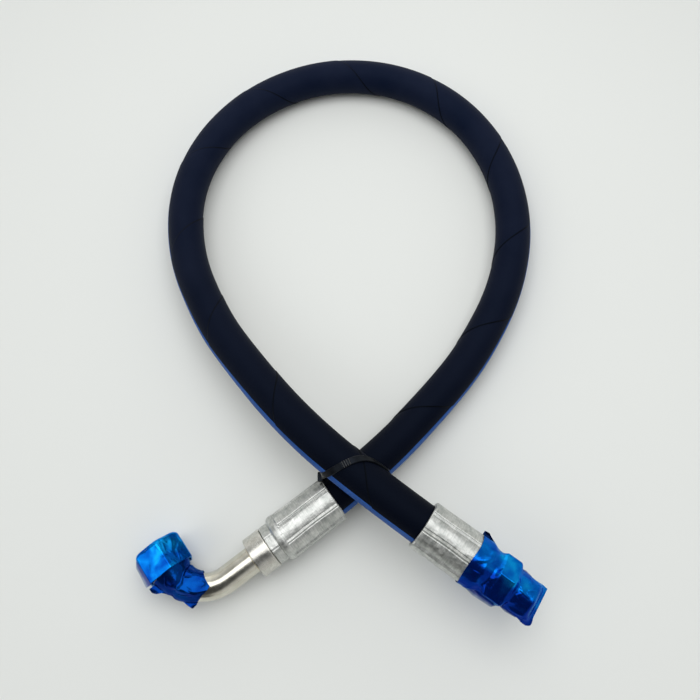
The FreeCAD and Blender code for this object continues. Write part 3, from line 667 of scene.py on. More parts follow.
def bent_tube():
    """A circle of the tube's radius carried along two straight runs joined by a quarter circle, flattened a
    little across the bend's inner and outer sides, then the bore back to the start."""
    origin, out, side, up = elbow_place
    run = elbow_reach - bend_radius - socket_floor
    arc = bend_radius * math.pi / 2
    last = tube_past_bend - bend_radius
    at = np.concatenate([
        np.linspace(0, run, 12)[:-1], run + np.linspace(0, arc, 56), run + arc + np.linspace(0, last, 4)[1:]
    ])
    angle = np.clip((at - run) / bend_radius, 0.0, math.pi / 2)
    x = np.minimum(at, run) + socket_floor + bend_radius * np.sin(angle)
    y = -bend_radius * (1 - np.cos(angle)) - np.maximum(at - run - arc, 0.0)
    line = origin + x[:, None] * out + y[:, None] * side
    square = np.sin(angle)[:, None] * out + np.cos(angle)[:, None] * side
    turn = full_turn(96)
    flatten = 1.0 - bend_flattening * bell(at - at.mean(), at[-1] * 0.25)

    def wall(radius):
        """The tube's wall at this radius, its sideways part flattened."""
        wide = radius * flatten[:, None, None] * np.sin(turn)[..., None] * square[:, None, :]
        return line[:, None, :] + wide + radius * np.cos(turn)[..., None] * up

    grid = closed(np.concatenate([wall(tube_radius), wall(tube_bore)[::-1]]))
    return grid, surface_map(closed(np.concatenate([at, at[::-1]]))[:, None], turn)


bright_tube, tree, shader = new_finish("bright_tube", Metallic=1.0, Roughness=0.17)
mottle_and_painted_light = spots(tree, object_place(tree), 120.0, detail=5.0)
paint(tree, shader, mottle_and_painted_light, [(0.35, (0.54, 0.52, 0.44)), (0.65, (0.68, 0.66, 0.58))])
polish(tree, shader, mottle_and_painted_light, 0.3, 0.7, 0.13, 0.24)
relief(tree, shader, spots(tree, surface_place(tree, 90.0, 60.0), 1.0, detail=3.0), 0.10, 0.0001)
skin("bent_steel_tube", "elbow_tube", *bent_tube(), bright_tube, "bright_tube", smooth_to=40)

# BRAZE, NOSE AND SEAL
# Brass filler runs into the joints of the tube with the collar and with the nose. The coned nose holds the
# nut on and carries a rubber ring. The CAD solids are right for the hidden ones, and only take their finishes
# here.
braze_leg = 0.0011

brass = [(0.35, (0.42, 0.36, 0.24)), (0.65, (0.66, 0.60, 0.45))]
braze = spotted_finish("braze", 500.0, brass, 0.5, 0.0002, Metallic=1.0, Roughness=0.42)
seal_blacks = [(0.3, (0.008, 0.008, 0.008)), (0.7, (0.016, 0.016, 0.017))]
seal_rubber = spotted_finish("seal_rubber", 700.0, seal_blacks, 0.15, 0.0001, Roughness=0.4)

fillet_corners = [(collar_end, tube_radius - 0.0001)] + [
    (collar_end + braze_leg * (1 - math.sin(a)), tube_radius + braze_leg * (1 - math.cos(a)))
    for a in np.linspace(0.0, math.pi / 2, 9)
]
grid, uv = closed_profile(fillet_corners, elbow_place)
skin("braze_fillet", "stem_braze_ring", grid, uv, braze, "braze", smooth_to=60)

for node, finish in (("elbow_nose", zinc_steel), ("nose_braze_ring", braze), ("nose_seal_ring", seal_rubber)):
    for material_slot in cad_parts[node].material_slots:
        material_slot.link = "OBJECT"
        material_slot.material = finish

# SWIVEL NUT
# Hexagon bar, 32 mm across flats, bored to slip over the tube, threaded from its front for a 3/4 in pipe
# thread and plated. It turns on the elbow's nose.
nut_back = 0.0295
nut_front = 0.0500
nut_flats = 0.0160
nut_roll = -14.4
nut_face_cut = 0.0009
nut_thread_start, nut_thread_radius = 0.0407, 0.01206
nose_room_start, nose_room_end, nose_room_radius = 0.0331, 0.0406, 0.0133
tube_hole_radius = 0.0103
thread_pitch = 0.001814
thread_depth = 0.00116
thread_fade = 0.0012
corner_rounding = 0.0006


def corner_circle(flats, corner):
    """How far out a hexagon corner's small circle is centred, which is the flat's distance less the circle's
    radius over the cosine of 30 degrees, and the angle from the corner where the circle meets the flat."""
    centre = (flats - corner) / math.cos(math.pi / 6)
    return centre, math.pi / 6 - np.arctan2(centre * math.sin(math.pi / 6), flats)


def hexagon_radius(flats, corner, from_corner):
    """Radius of a hexagon bar at angles from one of its corners: the flat's distance over the cosine of the
    angle from its middle, and a small circle at each corner."""
    near = (from_corner + math.pi / 6) % (math.pi / 3) - math.pi / 6
    centre, touch = corner_circle(flats, corner)
    on_flat = flats / np.cos(math.pi / 6 - np.abs(near))
    on_corner = centre * np.cos(near) + np.sqrt(np.maximum(corner**2 - (centre * np.sin(near)) ** 2, 0.0))
    return np.where(np.abs(near) < touch, on_corner, on_flat)


def hexagon_turns(roll):
    """Angles round a hexagon bar with a corner at roll, closer together at the corners, with its radius
    there."""
    touch = corner_circle(nut_flats, corner_rounding)[1]
    sixth = np.concatenate([np.linspace(-touch, touch, 5), np.linspace(touch, math.pi / 3 - touch, 14)[1:-1]])
    sixths = (sixth[None, :] + (np.arange(6) * math.pi / 3)[:, None]).ravel()
    from_corner = np.append(sixths, sixths[0] + 2 * math.pi)
    radius = hexagon_radius(nut_flats, corner_rounding, from_corner)
    return (from_corner + math.radians(roll))[None, :], radius[None, :]


def hexagon_rows(start, end, radius, face_radius):
    """Stations and radii of a hexagon bar whose corners are turned off at 30 degrees at both ends."""
    drop = (radius - face_radius) * math.tan(math.radians(30))
    share = np.linspace(0.0, 1.0, 7)[:, None]
    stations = np.concatenate([start + drop * share, end - drop * share[::-1]])
    return stations, face_radius + (radius - face_radius) * np.concatenate([share, share[::-1]])


def thread_rows(start, end, crest, inward, turn):
    """Rows of a screw thread: the radius swings between crest and root as a rounded V with the distance along
    the axis less the pitch times the turns gone round, and fades at both ends."""
    x = np.arange(start, end, thread_pitch / 14)[:, None]
    phase = (x / thread_pitch - turn / (2 * math.pi)) % 1.0
    wave = np.clip(np.abs(2 * phase - 1) * 1.24 - 0.12, 0.0, 1.0)
    fade = np.clip((x - start) / thread_fade, 0.0, 1.0) * np.clip((end - x) / thread_fade, 0.0, 1.0)
    return x, crest + inward * thread_depth * wave * fade


def corner_rows(*corners):
    """Rows for corners of an outline, each a station and a radius."""
    corners = np.array(corners)
    return corners[:, :1], corners[:, 1:]


def swivel_nut():
    """Hexagon outside, then back through the threaded bore, the room for the nose and the hole for the
    tube."""
    turn, radius = hexagon_turns(nut_roll)
    screw_x, screw_r = thread_rows(nut_thread_start, nut_front - thread_fade, nut_thread_radius, 1.0, turn)
    rows = [
        hexagon_rows(nut_back, nut_front, radius, nut_flats - nut_face_cut),
        corner_rows((nut_front, nut_thread_radius + thread_fade), (nut_front - thread_fade, nut_thread_radius)),
        (screw_x[::-1], screw_r[::-1]),
        corner_rows(
            (nose_room_end, nut_thread_radius),
            (nose_room_end, nose_room_radius),
            (nose_room_start, nose_room_radius),
            (nose_room_start, tube_hole_radius),
            (nut_back, tube_hole_radius),
        ),
    ]
    return turned_piece(nut_place, rows, turn)


skin("hexagon_nut", "swivel_nut", *swivel_nut(), zinc_steel, "zinc_steel", body="nut", smooth_to=24)

# STRAIGHT STEM
# The other end's turned body: the same barbed tail, a 32 mm hexagon for the spanner, a relief and a 3/4 in
# pipe thread, with a 60 degree coned seat in its face.
hexagon_end = 0.0253
hexagon_roll = 5.0
hexagon_face_cut = 0.0003
relief_end = 0.0277
relief_radius = 0.0120
thread_radius = 0.01322
thread_end = 0.0413
thread_chamfer = 0.0014
seat_radius = 0.0105


def straight_stem():
    """The tail's outline, then the hexagon, relief and screw thread, the seat and the bore, turned round the
    axis."""
    turn, radius = hexagon_turns(hexagon_roll)
    screw_start, screw_end = relief_end + 0.0013, thread_end - thread_chamfer
    seat_depth = (seat_radius - stem_bore) / math.tan(math.radians(30))
    rows = [
        corner_rows(*tail_corners()),
        hexagon_rows(collar_start, hexagon_end, radius, nut_flats - hexagon_face_cut),
        corner_rows(
            (hexagon_end, relief_radius), (relief_end, relief_radius), (relief_end + 0.0012, thread_radius - 0.0002)
        ),
        thread_rows(screw_start, screw_end, thread_radius, -1.0, turn),
        corner_rows(
            (thread_end, thread_radius - thread_chamfer),
            (thread_end, seat_radius),
            (thread_end - seat_depth, stem_bore),
        ),
    ]
    return turned_piece(straight_place, rows, turn)


skin("turned_stem_straight_end", "straight_stem", *straight_stem(), zinc_steel, "zinc_steel", smooth_to=24)

# ELBOW FILM
# Heat-shrunk blue film. One sleeve covers the nut, closed over its mouth, and is drawn in round the bend
# behind it, where it gathers in folds. The cap comes off with the nut, and the neck stays on the bend.
film_thickness = 0.00018
film_corner = 0.0014
film_over_nut = 0.00045
seam_thickness = 0.0003
rim_circle = 0.0158
cap_rim = nut_back - 0.0009
side_rows, edge_rows, mouth_rows, rim_rows = 74, 14, 31, 8
edge_start, edge_turn = nut_front - 0.0025, 1.4
edge_length, edge_drop = 0.0037, 0.0030
neck_start = 2.6
neck_length = 0.026
neck_wide, neck_narrow = 0.0150, 0.0108
neck_cut_turn = (-180.0, -90.0, -45.0, 0.0, 12.0, 30.0, 60.0, 90.0, 180.0)
neck_cut_bend = (50.0, 52.0, 59.0, 67.0, 63.0, 56.0, 51.0, 48.0, 50.0)
neck_folds = (
    (16.0, 8.0, 12.0, 0.0013),
    (-18.0, 8.0, 15.0, -0.0008),
    (-54.0, 12.0, 18.0, 0.0012),
    (50.0, -8.0, 14.0, -0.0006),
    (95.0, -6.0, 20.0, 0.0010),
    (-110.0, 8.0, 22.0, 0.0010),
    (150.0, 0.0, 25.0, 0.0009),
)


def mouth_puckers(u, v, seed, count, low, high, around):
    """Sharp folds from 0 to 1: one less the size of a sine wave, to the power 2.2, as the mean of waves that
    run in many directions, each a whole number of times round v."""
    rng = np.random.default_rng(seed)
    total = 0.0
    for _ in range(count):
        across = rng.uniform(low, high) * rng.choice([-1, 1])
        turns = rng.integers(1, around + 1) * rng.choice([-1, 1])
        wave = np.sin(2 * math.pi * (across * u + turns * v) + rng.uniform(0, 2 * math.pi))
        total = total + (1 - np.abs(wave)) ** 2.2
    return total / count


def wrinkles(reach, turn, radius, seed, count, length, width, height):
    """Short straight wrinkles laid on a surface unrolled to lengths: each is a bell across its own line,
    faded out towards its two ends."""
    rng = np.random.default_rng(seed)
    total = np.zeros(np.broadcast_shapes(reach.shape, turn.shape))
    for _ in range(count):
        along = reach - rng.uniform(reach.min(), reach.max())
        around = (turn - rng.uniform(0.0, 2 * math.pi) + math.pi) % (2 * math.pi) - math.pi
        lean = rng.normal(0.0, 0.7)
        down = along * math.cos(lean) + around * radius * math.sin(lean)
        off = -along * math.sin(lean) + around * radius * math.cos(lean)
        size, wide = rng.uniform(0.5, 1.0, 2)
        total += size * np.exp(-((off / (width * wide)) ** 2) - (down / (length * size)) ** 4)
    return np.minimum(total, 1.2) * height


def film_shell(name, node, outside, inward, uv, finish, body):
    """A thin shell: the outer grid of points and the same moved inwards by the film's thickness, joined at
    the rims."""
    grid = closed(np.concatenate([outside, (outside + inward * film_thickness)[::-1]]))
    skin(name, node, grid, closed(np.concatenate([uv, uv[::-1]])), finish, "film", body=body, smooth_to=60)


def film_edge(name, node, root, outward, width, finish, body):
    """The sleeve's flat side seam: from each point of a root line a thin strip runs outwards by its own
    width, swaying a little, and comes back. Both ends are closed."""
    share = np.array([0.0, 0.35, 0.7, 1.0])
    sway = 0.18 * np.sin(np.linspace(0.0, 9.0, len(root)))[:, None] * share**2
    across = unit(np.cross(unit(np.gradient(root, axis=0)), outward))
    reach = width[:, None] * share
    middle, half = root[:, None, :] + reach[..., None] * outward[:, None, :], seam_thickness / 2
    top, under = (middle + (reach * sway + off)[..., None] * across[:, None, :] for off in (half, -half))
    grid = with_end_points(np.concatenate([top, under[:, ::-1], top[:, :1]], axis=1))
    place = np.concatenate([share, share[::-1], share[:1]])
    uv = np.stack(np.broadcast_arrays(np.linspace(0.0, 1.0, len(grid))[:, None], place[None, :]), axis=-1)
    skin(name, node, grid, uv, finish, "film", body=body, smooth_to=50)


def film_finish(name, blues, painted_side_shade=False):
    """Dyed film with bright metal under it: blues in slow spots, fine crinkles, and a roughness that follows the
    spots, smoother where they are lighter. When asked for, the blues are pushed towards the darkest stop over
    one side of the sleeve, from about 0.62 of a turn round to the full turn: painted shade."""
    finish, tree, shader = new_finish(
        name, Metallic=0.85, Roughness=0.20, Specular_IOR_Level=0.2, Specular_Tint=(0.04, 0.50, 0.85, 1.0)
    )
    here = object_place(tree)
    shade = spots(tree, here, 70.0, detail=2.0, distortion=0.4)
    tone = shade
    # Painted shade: on one side of the sleeve the spots are lowered, so that the blues there run darker.
    if painted_side_shade:
        around = plus_share(tree, one_way(tree, surface_place(tree, 1.0, 1.0), "Y"), shade, 0.06)
        low = step_between(tree, around, 0.62, 0.68, high=0.36)
        past_top = step_between(tree, around, 1.005, 1.035, high=0.36)
        tone = arithmetic(tree, "SUBTRACT", shade, arithmetic(tree, "SUBTRACT", low, past_top))
    paint(tree, shader, tone, list(zip((0.14, 0.34, 0.50, 0.66), blues)))
    relief(tree, shader, spots(tree, here, 420.0, detail=3.0, distortion=0.8), 0.18, 0.0004)
    polish(tree, shader, shade, 0.3, 0.7, 0.24, 0.15)
    return finish


film_blues = ((0.0014, 0.024, 0.25), (0.0012, 0.070, 0.42), (0.0018, 0.155, 0.60), (0.0040, 0.300, 0.78))
# The film round the bend, with its side seam and flap, takes these darker blues: a painted shade on the film behind
# the nut.
neck_painted_shade_blues = ((0.0006, 0.009, 0.10), (0.0008, 0.016, 0.16), (0.0009, 0.024, 0.18), (0.0012, 0.048, 0.25))
# The right seam fin on the thread film takes these near-black blues: a painted shade on the fin.
fin_painted_shade_blues = ((0.0008, 0.002, 0.012), (0.0012, 0.003, 0.018), (0.0016, 0.005, 0.030), (0.0020, 0.008, 0.050))
film = film_finish("film", film_blues)
# The thread sleeve's film, with painted shade on one side.
film_painted_side_shade = film_finish("film_painted_side_shade", film_blues, painted_side_shade=True)
film_painted_neck_shade = film_finish("film_painted_neck_shade", neck_painted_shade_blues)
film_painted_fin_shade = film_finish("film_painted_fin_shade", fin_painted_shade_blues)

film_seam, tree, shader = new_finish("film_seam", Roughness=0.30, Specular_IOR_Level=0.5)
cloud = spots(tree, object_place(tree), 300.0, detail=4.0)
edge = plus_share(tree, one_way(tree, surface_place(tree, 1.0, 1.0), "Y"), cloud, 0.5)
paint(tree, shader, edge, [(0.55, (0.003, 0.030, 0.26)), (0.80, (0.08, 0.13, 0.30)), (1.00, (0.26, 0.31, 0.42))])
relief(tree, shader, cloud, 0.3, 0.0003)


def elbow_cap():
    """Rows go from the rim, drawn in to a circle behind the nut's corners, along its flats, round its front
    edge in a quarter of an ellipse, and in over its mouth to the middle. The radius is the nut's with rounded
    corners, with short wrinkles on the flats and puckers over the mouth."""
    turn = full_turn(360)
    side = np.linspace(0.0, 1.0, side_rows)[:, None]
    round_edge = np.linspace(0.0, edge_turn, edge_rows + 1)[1:, None]
    over = np.linspace(0.0, 1.0, mouth_rows + 1)[1:, None]

    def rows_of(*values):
        """Rows of values for the side, the round edge and the mouth. One value stands for a whole part."""
        return np.concatenate([value + 0.0 * part for value, part in zip(values, (side, round_edge, over))])

    softer = 0.0014 + 0.0062 * ease(round_edge, 0.0, 1.0)
    softened = film_corner + rows_of(0.0014 * ease(side, 0.6, 1.0), softer, 0.0076)
    wall = hexagon_radius(nut_flats + film_over_nut, softened, turn - math.radians(nut_roll))
    mouth_x = edge_start + edge_length * math.sin(edge_turn)
    x = rows_of(cap_rim + (edge_start - cap_rim) * side, edge_start + edge_length * np.sin(round_edge), mouth_x)
    shrink = edge_drop * rows_of(0.0, 1 - np.cos(round_edge), 1 - math.cos(edge_turn))
    share = rows_of(1.0, 1.0, 1.0 - over)
    radius = (wall - shrink) * share
    reach = rows_of(side * 0.0184, 0.0184 + 0.0034 * round_edge, 0.0232 + over * 0.015)
    fine = wrinkles(reach, turn, 0.017, seed=4, count=60, length=0.0035, width=0.0005, height=0.00022)
    broad = wrinkles(reach, turn, 0.017, seed=6, count=16, length=0.0060, width=0.0022, height=0.00035)
    radius = radius + (fine + broad) * share * ease(reach, 0.0, 0.003)
    puckers = mouth_puckers(over, turn / (2 * math.pi), seed=9, count=10, low=0.2, high=1.4, around=16)
    sink = np.zeros_like(radius)
    sink[-mouth_rows:] = 0.0009 * ease(over, 0.1, 0.7) + 0.0006 * puckers * ease(over, 0.0, 0.2) * (1 - over)
    drawn_in = np.linspace(1.0, 0.0, rim_rows + 1)[:-1, None]
    rim_radius = wall[:1] + (np.minimum(rim_circle, wall[:1]) - wall[:1]) * np.sin(drawn_in * math.pi / 2)
    radius = np.concatenate([rim_radius, radius])
    x = np.concatenate([cap_rim + 0.0001 - 0.0003 * np.sin(drawn_in * math.pi / 2), x])
    sink = np.concatenate([np.zeros((rim_rows, sink.shape[1])), sink])
    reach = np.concatenate([-0.0026 * drawn_in, reach])
    outside = round_piece(nut_place, x - sink, radius, turn)
    slope = np.concatenate([-drawn_in, rows_of(0.0, np.sin(round_edge), 1.0)]) * np.ones_like(turn)
    inward = round_piece(nut_place, -slope, np.abs(slope) - 1, turn) - nut_place[0]
    return outside, inward, surface_map(reach, turn)


def on_bend(angle, radius, turn):
    """Points round the bend: a distance from the tube's line at a turn from up, positive towards the outer
    side. Also the direction from the line to each."""
    origin, out, side_way, up = nut_place
    angle, radius, turn = np.broadcast_arrays(angle, radius, turn)
    at_x = bend_radius - bend_radius * np.sin(angle)
    at_y = -bend_radius * (1 - np.cos(angle))
    middle = origin + at_x[..., None] * out + at_y[..., None] * side_way
    square = -np.sin(angle)[..., None] * out + np.cos(angle)[..., None] * side_way
    spoke = np.sin(turn)[..., None] * square + np.cos(turn)[..., None] * up
    return middle + radius[..., None] * spoke, spoke


def elbow_neck():
    """Rings square to the bend, wide at the nut's back and narrow round the tube, with a few broad folds
    along it and short wrinkles. Each line of points ends at its own place along the bend, so that the rim is
    cut on the slant."""
    turn = np.linspace(-math.pi, math.pi, 361)[None, :]
    share = np.linspace(0.0, 1.0, 96)[:, None]
    last = np.interp(np.degrees(turn), neck_cut_turn, neck_cut_bend)
    angle = np.radians(neck_start + (last - neck_start) * share)
    radius = neck_narrow + (neck_wide - neck_narrow) * (1 - share) ** 2.8 * np.ones_like(turn)
    for middle, drift, wide, height in neck_folds:
        off = (np.degrees(turn) - middle - drift * (1 - share) + 180.0) % 360.0 - 180.0
        radius = radius + height * bell(off, wide) * ease(share, 0.08, 0.45) * (1 - 0.6 * ease(share, 0.8, 1.0))
    radius = radius - 0.0011 * bell(share - 0.36 - 0.07 * np.sin(turn), 0.055)
    reach = share * neck_length
    short = wrinkles(reach, turn, 0.012, seed=14, count=30, length=0.0045, width=0.0006, height=0.0004)
    radius = radius + short * ease(share, 0.0, 0.15)
    radius = np.clip(radius, tube_radius + 0.00035, 0.0156)
    radius = np.where(share < 0.04, np.minimum(radius, 0.0151), radius)
    outside, spoke = on_bend(angle, radius, turn)
    return outside, -spoke, surface_map(reach, turn)


film_shell("cap_on_nut", "elbow_film_cap", *elbow_cap(), film, "nut_film")
film_shell("film_round_bend", "elbow_film_neck", *elbow_neck(), film_painted_neck_shade, "hose_and_ends")

station = np.linspace(cap_rim, nut_front - 0.0016, 30)
seam_root = round_piece(nut_place, station, 0.0166, math.radians(66.0))
seam_out = round_piece(nut_place, np.zeros(30), 1.0, math.radians(84.0)) - nut_place[0]
seam_width = np.interp(station, [nut_back, nut_front - 0.006, nut_front - 0.0016], [0.0036, 0.0028, 0.0006])
film_edge("cap_side_seam", "elbow_film_cap", seam_root, seam_out, seam_width, film_seam, "nut_film")

for name, turn, steps, radius_at, radii, width_at, widths in (
    ("bend_side_seam", 80.0, 40, (3.2, 20.0, 30.0), (0.0143, 0.0112, 0.0106),
     (3.2, 7.0, 10.0, 13.0, 18.0, 30.0), (0.0046, 0.0054, 0.0044, 0.0020, 0.0009, 0.0006)),
    ("bend_flap", 84.0, 30, (30.0, 49.0), (0.0105, 0.0105),
     (30.0, 36.0, 45.5, 49.0), (0.0008, 0.0014, 0.0042, 0.0014)),
):
    bend = np.linspace(width_at[0], width_at[-1], steps)
    seam_root, seam_out = on_bend(np.radians(bend), np.interp(bend, radius_at, radii), math.radians(turn))
    seam_width = np.interp(bend, width_at, widths)
    film_edge(name, "elbow_film_neck", seam_root, seam_out, seam_width, film_painted_neck_shade, "hose_and_ends")

# THREAD FILM
# The straight end's film: shrunk over the ferrule's shoulder, drawn in at its neck, stretched over the
# hexagon and the thread, and pressed flat in a welded seam past the thread's end. The sleeve's two side seams
# stand out.
film_start = -0.0040
film_end = 0.0512
film_on_ferrule = ridge_radius + 0.0003
film_waist = 0.0161
film_on_thread = 0.0139
pressed_share = 0.975


def thread_film():
    """Rows along the axis with a radius that blends the ferrule's shoulder, the neck, the hexagon with
    rounded corners and the thread. Past the thread the ring is pressed into an ellipse that ends nearly
    flat."""
    turn = full_turn(288)
    x = np.linspace(film_start, film_end, 160)[:, None]
    hexagon = hexagon_radius(nut_flats + film_over_nut, film_corner, turn - math.radians(hexagon_roll))
    on_neck = ease(x, ferrule_shoulder - 0.003, ferrule_shoulder + 0.004)
    radius = film_on_ferrule + (film_waist - film_on_ferrule) * on_neck
    below = bell((np.degrees(turn) + 38.0 + 180.0) % 360.0 - 180.0, 26.0)
    up_to_hexagon = ease(x, collar_start - 0.0026 - 0.0050 * below, collar_start + 0.0004 - 0.0030 * below)
    radius = radius + (hexagon - film_waist) * up_to_hexagon
    radius = radius + (film_on_thread - hexagon) * ease(x, hexagon_end - 0.0002, hexagon_end + 0.0046)
    reach = x - film_start
    past_hexagon = ease(x, hexagon_end - 0.001, hexagon_end + 0.001)
    on_hexagon = ease(x, collar_start - 0.001, collar_start + 0.001) * (1 - past_hexagon)
    fine = wrinkles(reach, turn, 0.016, seed=21, count=110, length=0.0045, width=0.0006, height=0.00035)
    broad = wrinkles(reach, turn, 0.016, seed=24, count=44, length=0.0075, width=0.0021, height=0.00085)
    radius = radius + (fine + broad - 0.0003) * ease(x, film_start, film_start + 0.004) * (1 - 0.75 * on_hexagon)
    radius = np.clip(radius, np.where(x < collar_start - 0.002, 0.0156, 0.0136), 0.0190)
    press = ease(x, thread_end + 0.0004, film_end - 0.0015)
    low_corner = np.clip((-np.sin(turn) - 0.55) / 0.45, 0.0, 1.0)
    wide, thin = 1.0 + (0.02 + 0.08 * low_corner) * press, 1.0 - pressed_share * press
    across = np.sin(turn) * radius * wide
    height = np.cos(turn) * radius * thin - 0.0030 * ease(x, thread_end + 0.002, film_end + 0.002) ** 2
    cut_at = film_start - 0.0018 * np.clip(np.cos(turn), 0.0, 1.0) + 0.0006 * np.sin(3 * turn)
    station = np.where(x < 0.0, cut_at + (x - film_start) / (0.0 - film_start) * (0.0 - cut_at), x)
    lean = (0.0006 * np.sin(turn) - 0.0016 * low_corner + 0.0042 * low_corner**6) * ease(x, thread_end, film_end)
    origin, out, side, up = straight_place
    outside = origin + (station - lean)[..., None] * out + across[..., None] * side + height[..., None] * up
    spoke = unit(np.sin(turn)[..., None] * side + (np.cos(turn) * np.maximum(thin, 0.05))[..., None] * up)
    return outside, -spoke, surface_map(x, turn)


film_shell("capsule_on_thread", "straight_film_capsule", *thread_film(), film_painted_side_shade, "thread_film")
# The right seam's finish is painted shade, near-black blues on the fin.
for name, turn, finish, stations, radii, widths in (
    ("thread_seam_right", 88.0, film_painted_fin_shade,
     (-0.0052, -0.002, 0.008), (0.0183, 0.0184, 0.0166), (0.0030, 0.0034, 0.0004)),
    ("thread_seam_left", -92.0, film_seam,
     (0.004, 0.010, 0.024, 0.0265), (0.0178, 0.0160, 0.0160, 0.0150), (0.0006, 0.0034, 0.0026, 0.0006)),
    ("thread_seam_left_end", -92.0, film_seam,
     (0.0285, 0.033, 0.041), (0.0141, 0.0138, 0.0138), (0.0006, 0.0018, 0.0008)),
    ("thread_seam_right_end", 88.0, film_seam,
     (0.0285, 0.032, 0.037), (0.0141, 0.0138, 0.0138), (0.0005, 0.0015, 0.0004)),
):
    station = np.linspace(stations[0], stations[-1], 40)
    seam_root = round_piece(straight_place, station, np.interp(station, stations, radii), math.radians(turn))
    seam_out = round_piece(straight_place, np.zeros(40), 1.0, math.radians(turn)) - straight_place[0]
    seam_width = np.interp(station, stations, widths)
    film_edge(name, "straight_film_capsule", seam_root, seam_out, seam_width, finish, "thread_film")

# CABLE TIE
# One moulding of black nylon: a strap pulled tight round both limbs at the crossing, with a short run of ribs
# on top of the upper limb, and the block head at the left that holds it. The tail is trimmed off at the head.
tie_width = 0.0048
tie_thickness = 0.0012
tie_corner = 0.0003
tie_radius = cover_outside + 0.0008
tie_reach = 0.0179
tie_bulge = 0.0006
rib_height = 0.00055
rib_pitch = 0.0016
first_rib_row, last_rib_row = 65, 81
head_foot = np.array([-0.0108, 0.0497, 0.0298])
head_half_width, head_half_length, head_height = 0.0021, 0.0034, 0.0076
head_squareness = 0.28


def crossing_of(line, at):
    """The distances along the line of its two points that meet in plan, lower limb first: the least plan
    distance between the line's first and last quarters."""
    quarter = len(line) // 4
    first, last = line[:quarter, :2], line[-quarter:, :2]
    apart = np.linalg.norm(first[:, None, :] - last[None, :, :], axis=2)
    i, j = np.unravel_index(apart.argmin(), apart.shape)
    return at[i], at[len(line) - quarter + j]


def strap_path():
    """Over the upper limb from its lower left side to its upper right side, then under the lower limb and
    back, always a radius from the hose's line. On the upper limb the strap's place along the limb grows with
    half the share of the half turn and half its fifth power, as it lies in the photograph."""
    line, at = evenly(hose_line, 1601)
    outer, up = level_frames(line)
    low_at, high_at = crossing_of(line, at)

    def on_hose(reach, angle, sign):
        """Points the tie's radius from the hose's line, at a reach along it and an angle from its outer side,
        with the directions to them."""
        centre, across, lift = (
            np.stack([np.interp(reach, at, values[:, i]) for i in range(3)], axis=1) for values in (line, outer, up)
        )
        normal = np.cos(angle)[:, None] * across + sign * np.sin(angle)[:, None] * lift
        return centre + tie_radius * normal, normal

    share = np.linspace(0.0, 1.0, 150)
    angle = share * math.pi
    over, over_normal = on_hose(high_at - tie_reach + 2 * tie_reach * (0.5 * share + 0.5 * share**5), angle, 1.0)
    under, under_normal = on_hose(low_at + tie_reach - 2 * tie_reach * share, angle, -1.0)
    return over, over_normal, under, under_normal


def smoothed(values, width):
    """A running mean round a closed line."""
    kernel = np.ones(width) / width
    wrapped = np.concatenate([values[-width:], values, values[:width]])
    means = [np.convolve(wrapped[:, i], kernel, "same")[width:-width] for i in range(values.shape[1])]
    return np.stack(means, axis=1)


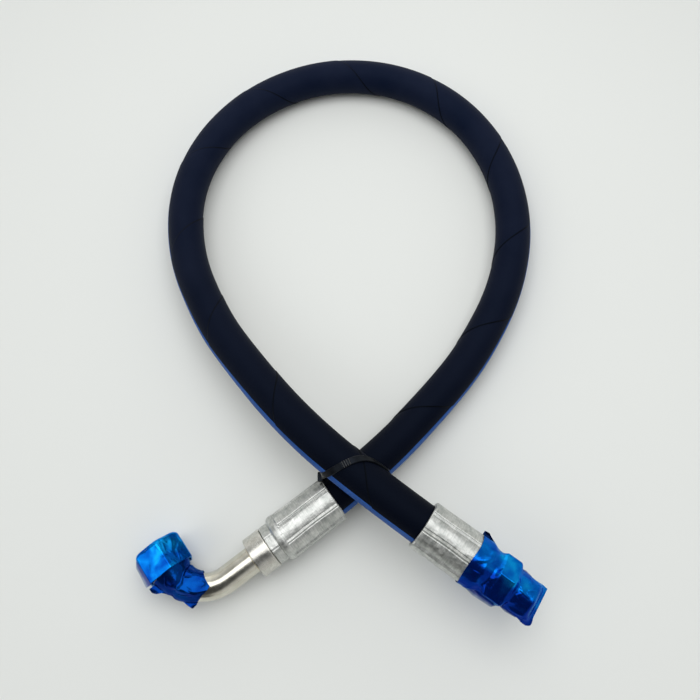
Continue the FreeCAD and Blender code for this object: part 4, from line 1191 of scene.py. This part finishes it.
def strap():
    """A rounded bar section carried round the closed path, its flat side facing the hose, with small ribs
    across the run that the photograph shows. Also where along the path the ribs start and end."""
    over, over_normal, under, under_normal = strap_path()
    step = np.linspace(0.0, 1.0, 40)[1:-1, None]
    right = np.array([1.0, 0.0, 0.0])
    bulge = tie_bulge * np.sin(step * math.pi) * right
    down = over[-1] + (under[0] - over[-1]) * step + bulge
    rise = under[-1] + (over[0] - under[-1]) * step - bulge
    path = smoothed(np.concatenate([over, down, under, rise]), 9)
    sideways = np.broadcast_to(right, down.shape)
    normal = smoothed(np.concatenate([over_normal, sideways, under_normal, -sideways]), 25)
    way = unit(np.roll(path, -1, axis=0) - np.roll(path, 1, axis=0))
    normal = unit(normal - (normal * way).sum(axis=1, keepdims=True) * way)
    wide = np.cross(way, normal)
    reach = reach_along(path)
    half_w, half_t, corner = tie_width / 2, tie_thickness / 2, tie_corner
    section = np.array([
        (-half_w + corner, -half_t), (half_w - corner, -half_t), (half_w, -half_t + corner),
        (half_w, half_t - corner), (half_w - corner, half_t), (half_w * 0.6, half_t), (-half_w * 0.6, half_t),
        (-half_w + corner, half_t), (-half_w, half_t - corner), (-half_w, -half_t + corner),
        (-half_w + corner, -half_t),
    ])
    row = np.arange(len(path))
    ribbed = (row >= first_rib_row) & (row <= last_rib_row)
    rib = rib_height * np.clip(np.sin(reach / rib_pitch * 2 * math.pi), -0.2, 1.0) * ribbed
    top = (section[:, 1] > half_t - corner / 2)[None, :]
    lift = section[None, :, 1] + rib[:, None] * top
    grid = closed(path[:, None, :] + section[None, :, :1] * wide[:, None, :] + lift[..., None] * normal[:, None, :])
    along, across = np.append(reach, reach[-1])[:, None], np.linspace(0, 1, len(section))[None, :]
    uv = np.stack(np.broadcast_arrays(along, across), axis=-1)
    return grid, uv, float(reach[first_rib_row]), float(reach[last_rib_row])


def tie_head():
    """A rounded block: each level is a superellipse, narrowed at its foot and its top, closed by a point at
    each."""
    turn = full_turn(48)
    level = np.concatenate([[0.0], np.linspace(0.0, 1.0, 18), [1.0]])[:, None]
    size = np.minimum(1.0, 0.86 + 2.2 * np.minimum(level, 1 - level))
    size[[0, -1]] = 0.0

    def squared(wave, half):
        """A wave's size to a small power, with its sign, times the level's size and half the block's."""
        return np.sign(wave) * np.abs(wave) ** head_squareness * size * half

    across, along = squared(np.cos(turn), head_half_width), squared(np.sin(turn), head_half_length)
    height = head_height * level * np.ones_like(turn)
    return head_foot + np.stack([across, along, height], axis=-1), surface_map(level * head_height, turn)


tie_nylon, tree, shader = new_finish(
    "tie_nylon", Roughness=0.30, Specular_IOR_Level=0.14, Specular_Tint=(0.60, 0.76, 1.0, 1.0)
)
grid, uv, ribs_start, ribs_end = strap()
flow = spots(tree, object_place(tree), 400.0, detail=3.0)
along_strap = one_way(tree, surface_place(tree, 1.0, 1.0), "X")
rib_wave = arithmetic(tree, "SINE", arithmetic(tree, "MULTIPLY", along_strap, 2 * math.pi / rib_pitch))
past_start = arithmetic(tree, "GREATER_THAN", along_strap, ribs_start)
before_end = arithmetic(tree, "LESS_THAN", along_strap, ribs_end)
rib_tops = arithmetic(tree, "MULTIPLY", rib_wave, arithmetic(tree, "MULTIPLY", past_start, before_end))
# Painted highlight: lighter grey stripes on the rib tops over the ribbed run, standing in for their glints.
painted_rib_glints = colour_steps(tree, rib_tops, [(0.1, (0.0, 0.0, 0.0)), (0.7, (0.050, 0.050, 0.052))])
nylon = colour_steps(tree, flow, [(0.3, (0.0025, 0.0028, 0.0035)), (0.7, (0.006, 0.0062, 0.0075))])
tree.links.new(together(tree, "ADD", nylon, painted_rib_glints), shader.inputs["Base Color"])
relief(tree, shader, flow, 0.15, 0.0001)
skin("tie_strap", "cable_tie", grid, uv, tie_nylon, "tie_nylon", smooth_to=40)
skin("tie_head", "cable_tie", *tie_head(), tie_nylon, "tie_nylon", smooth_to=40)
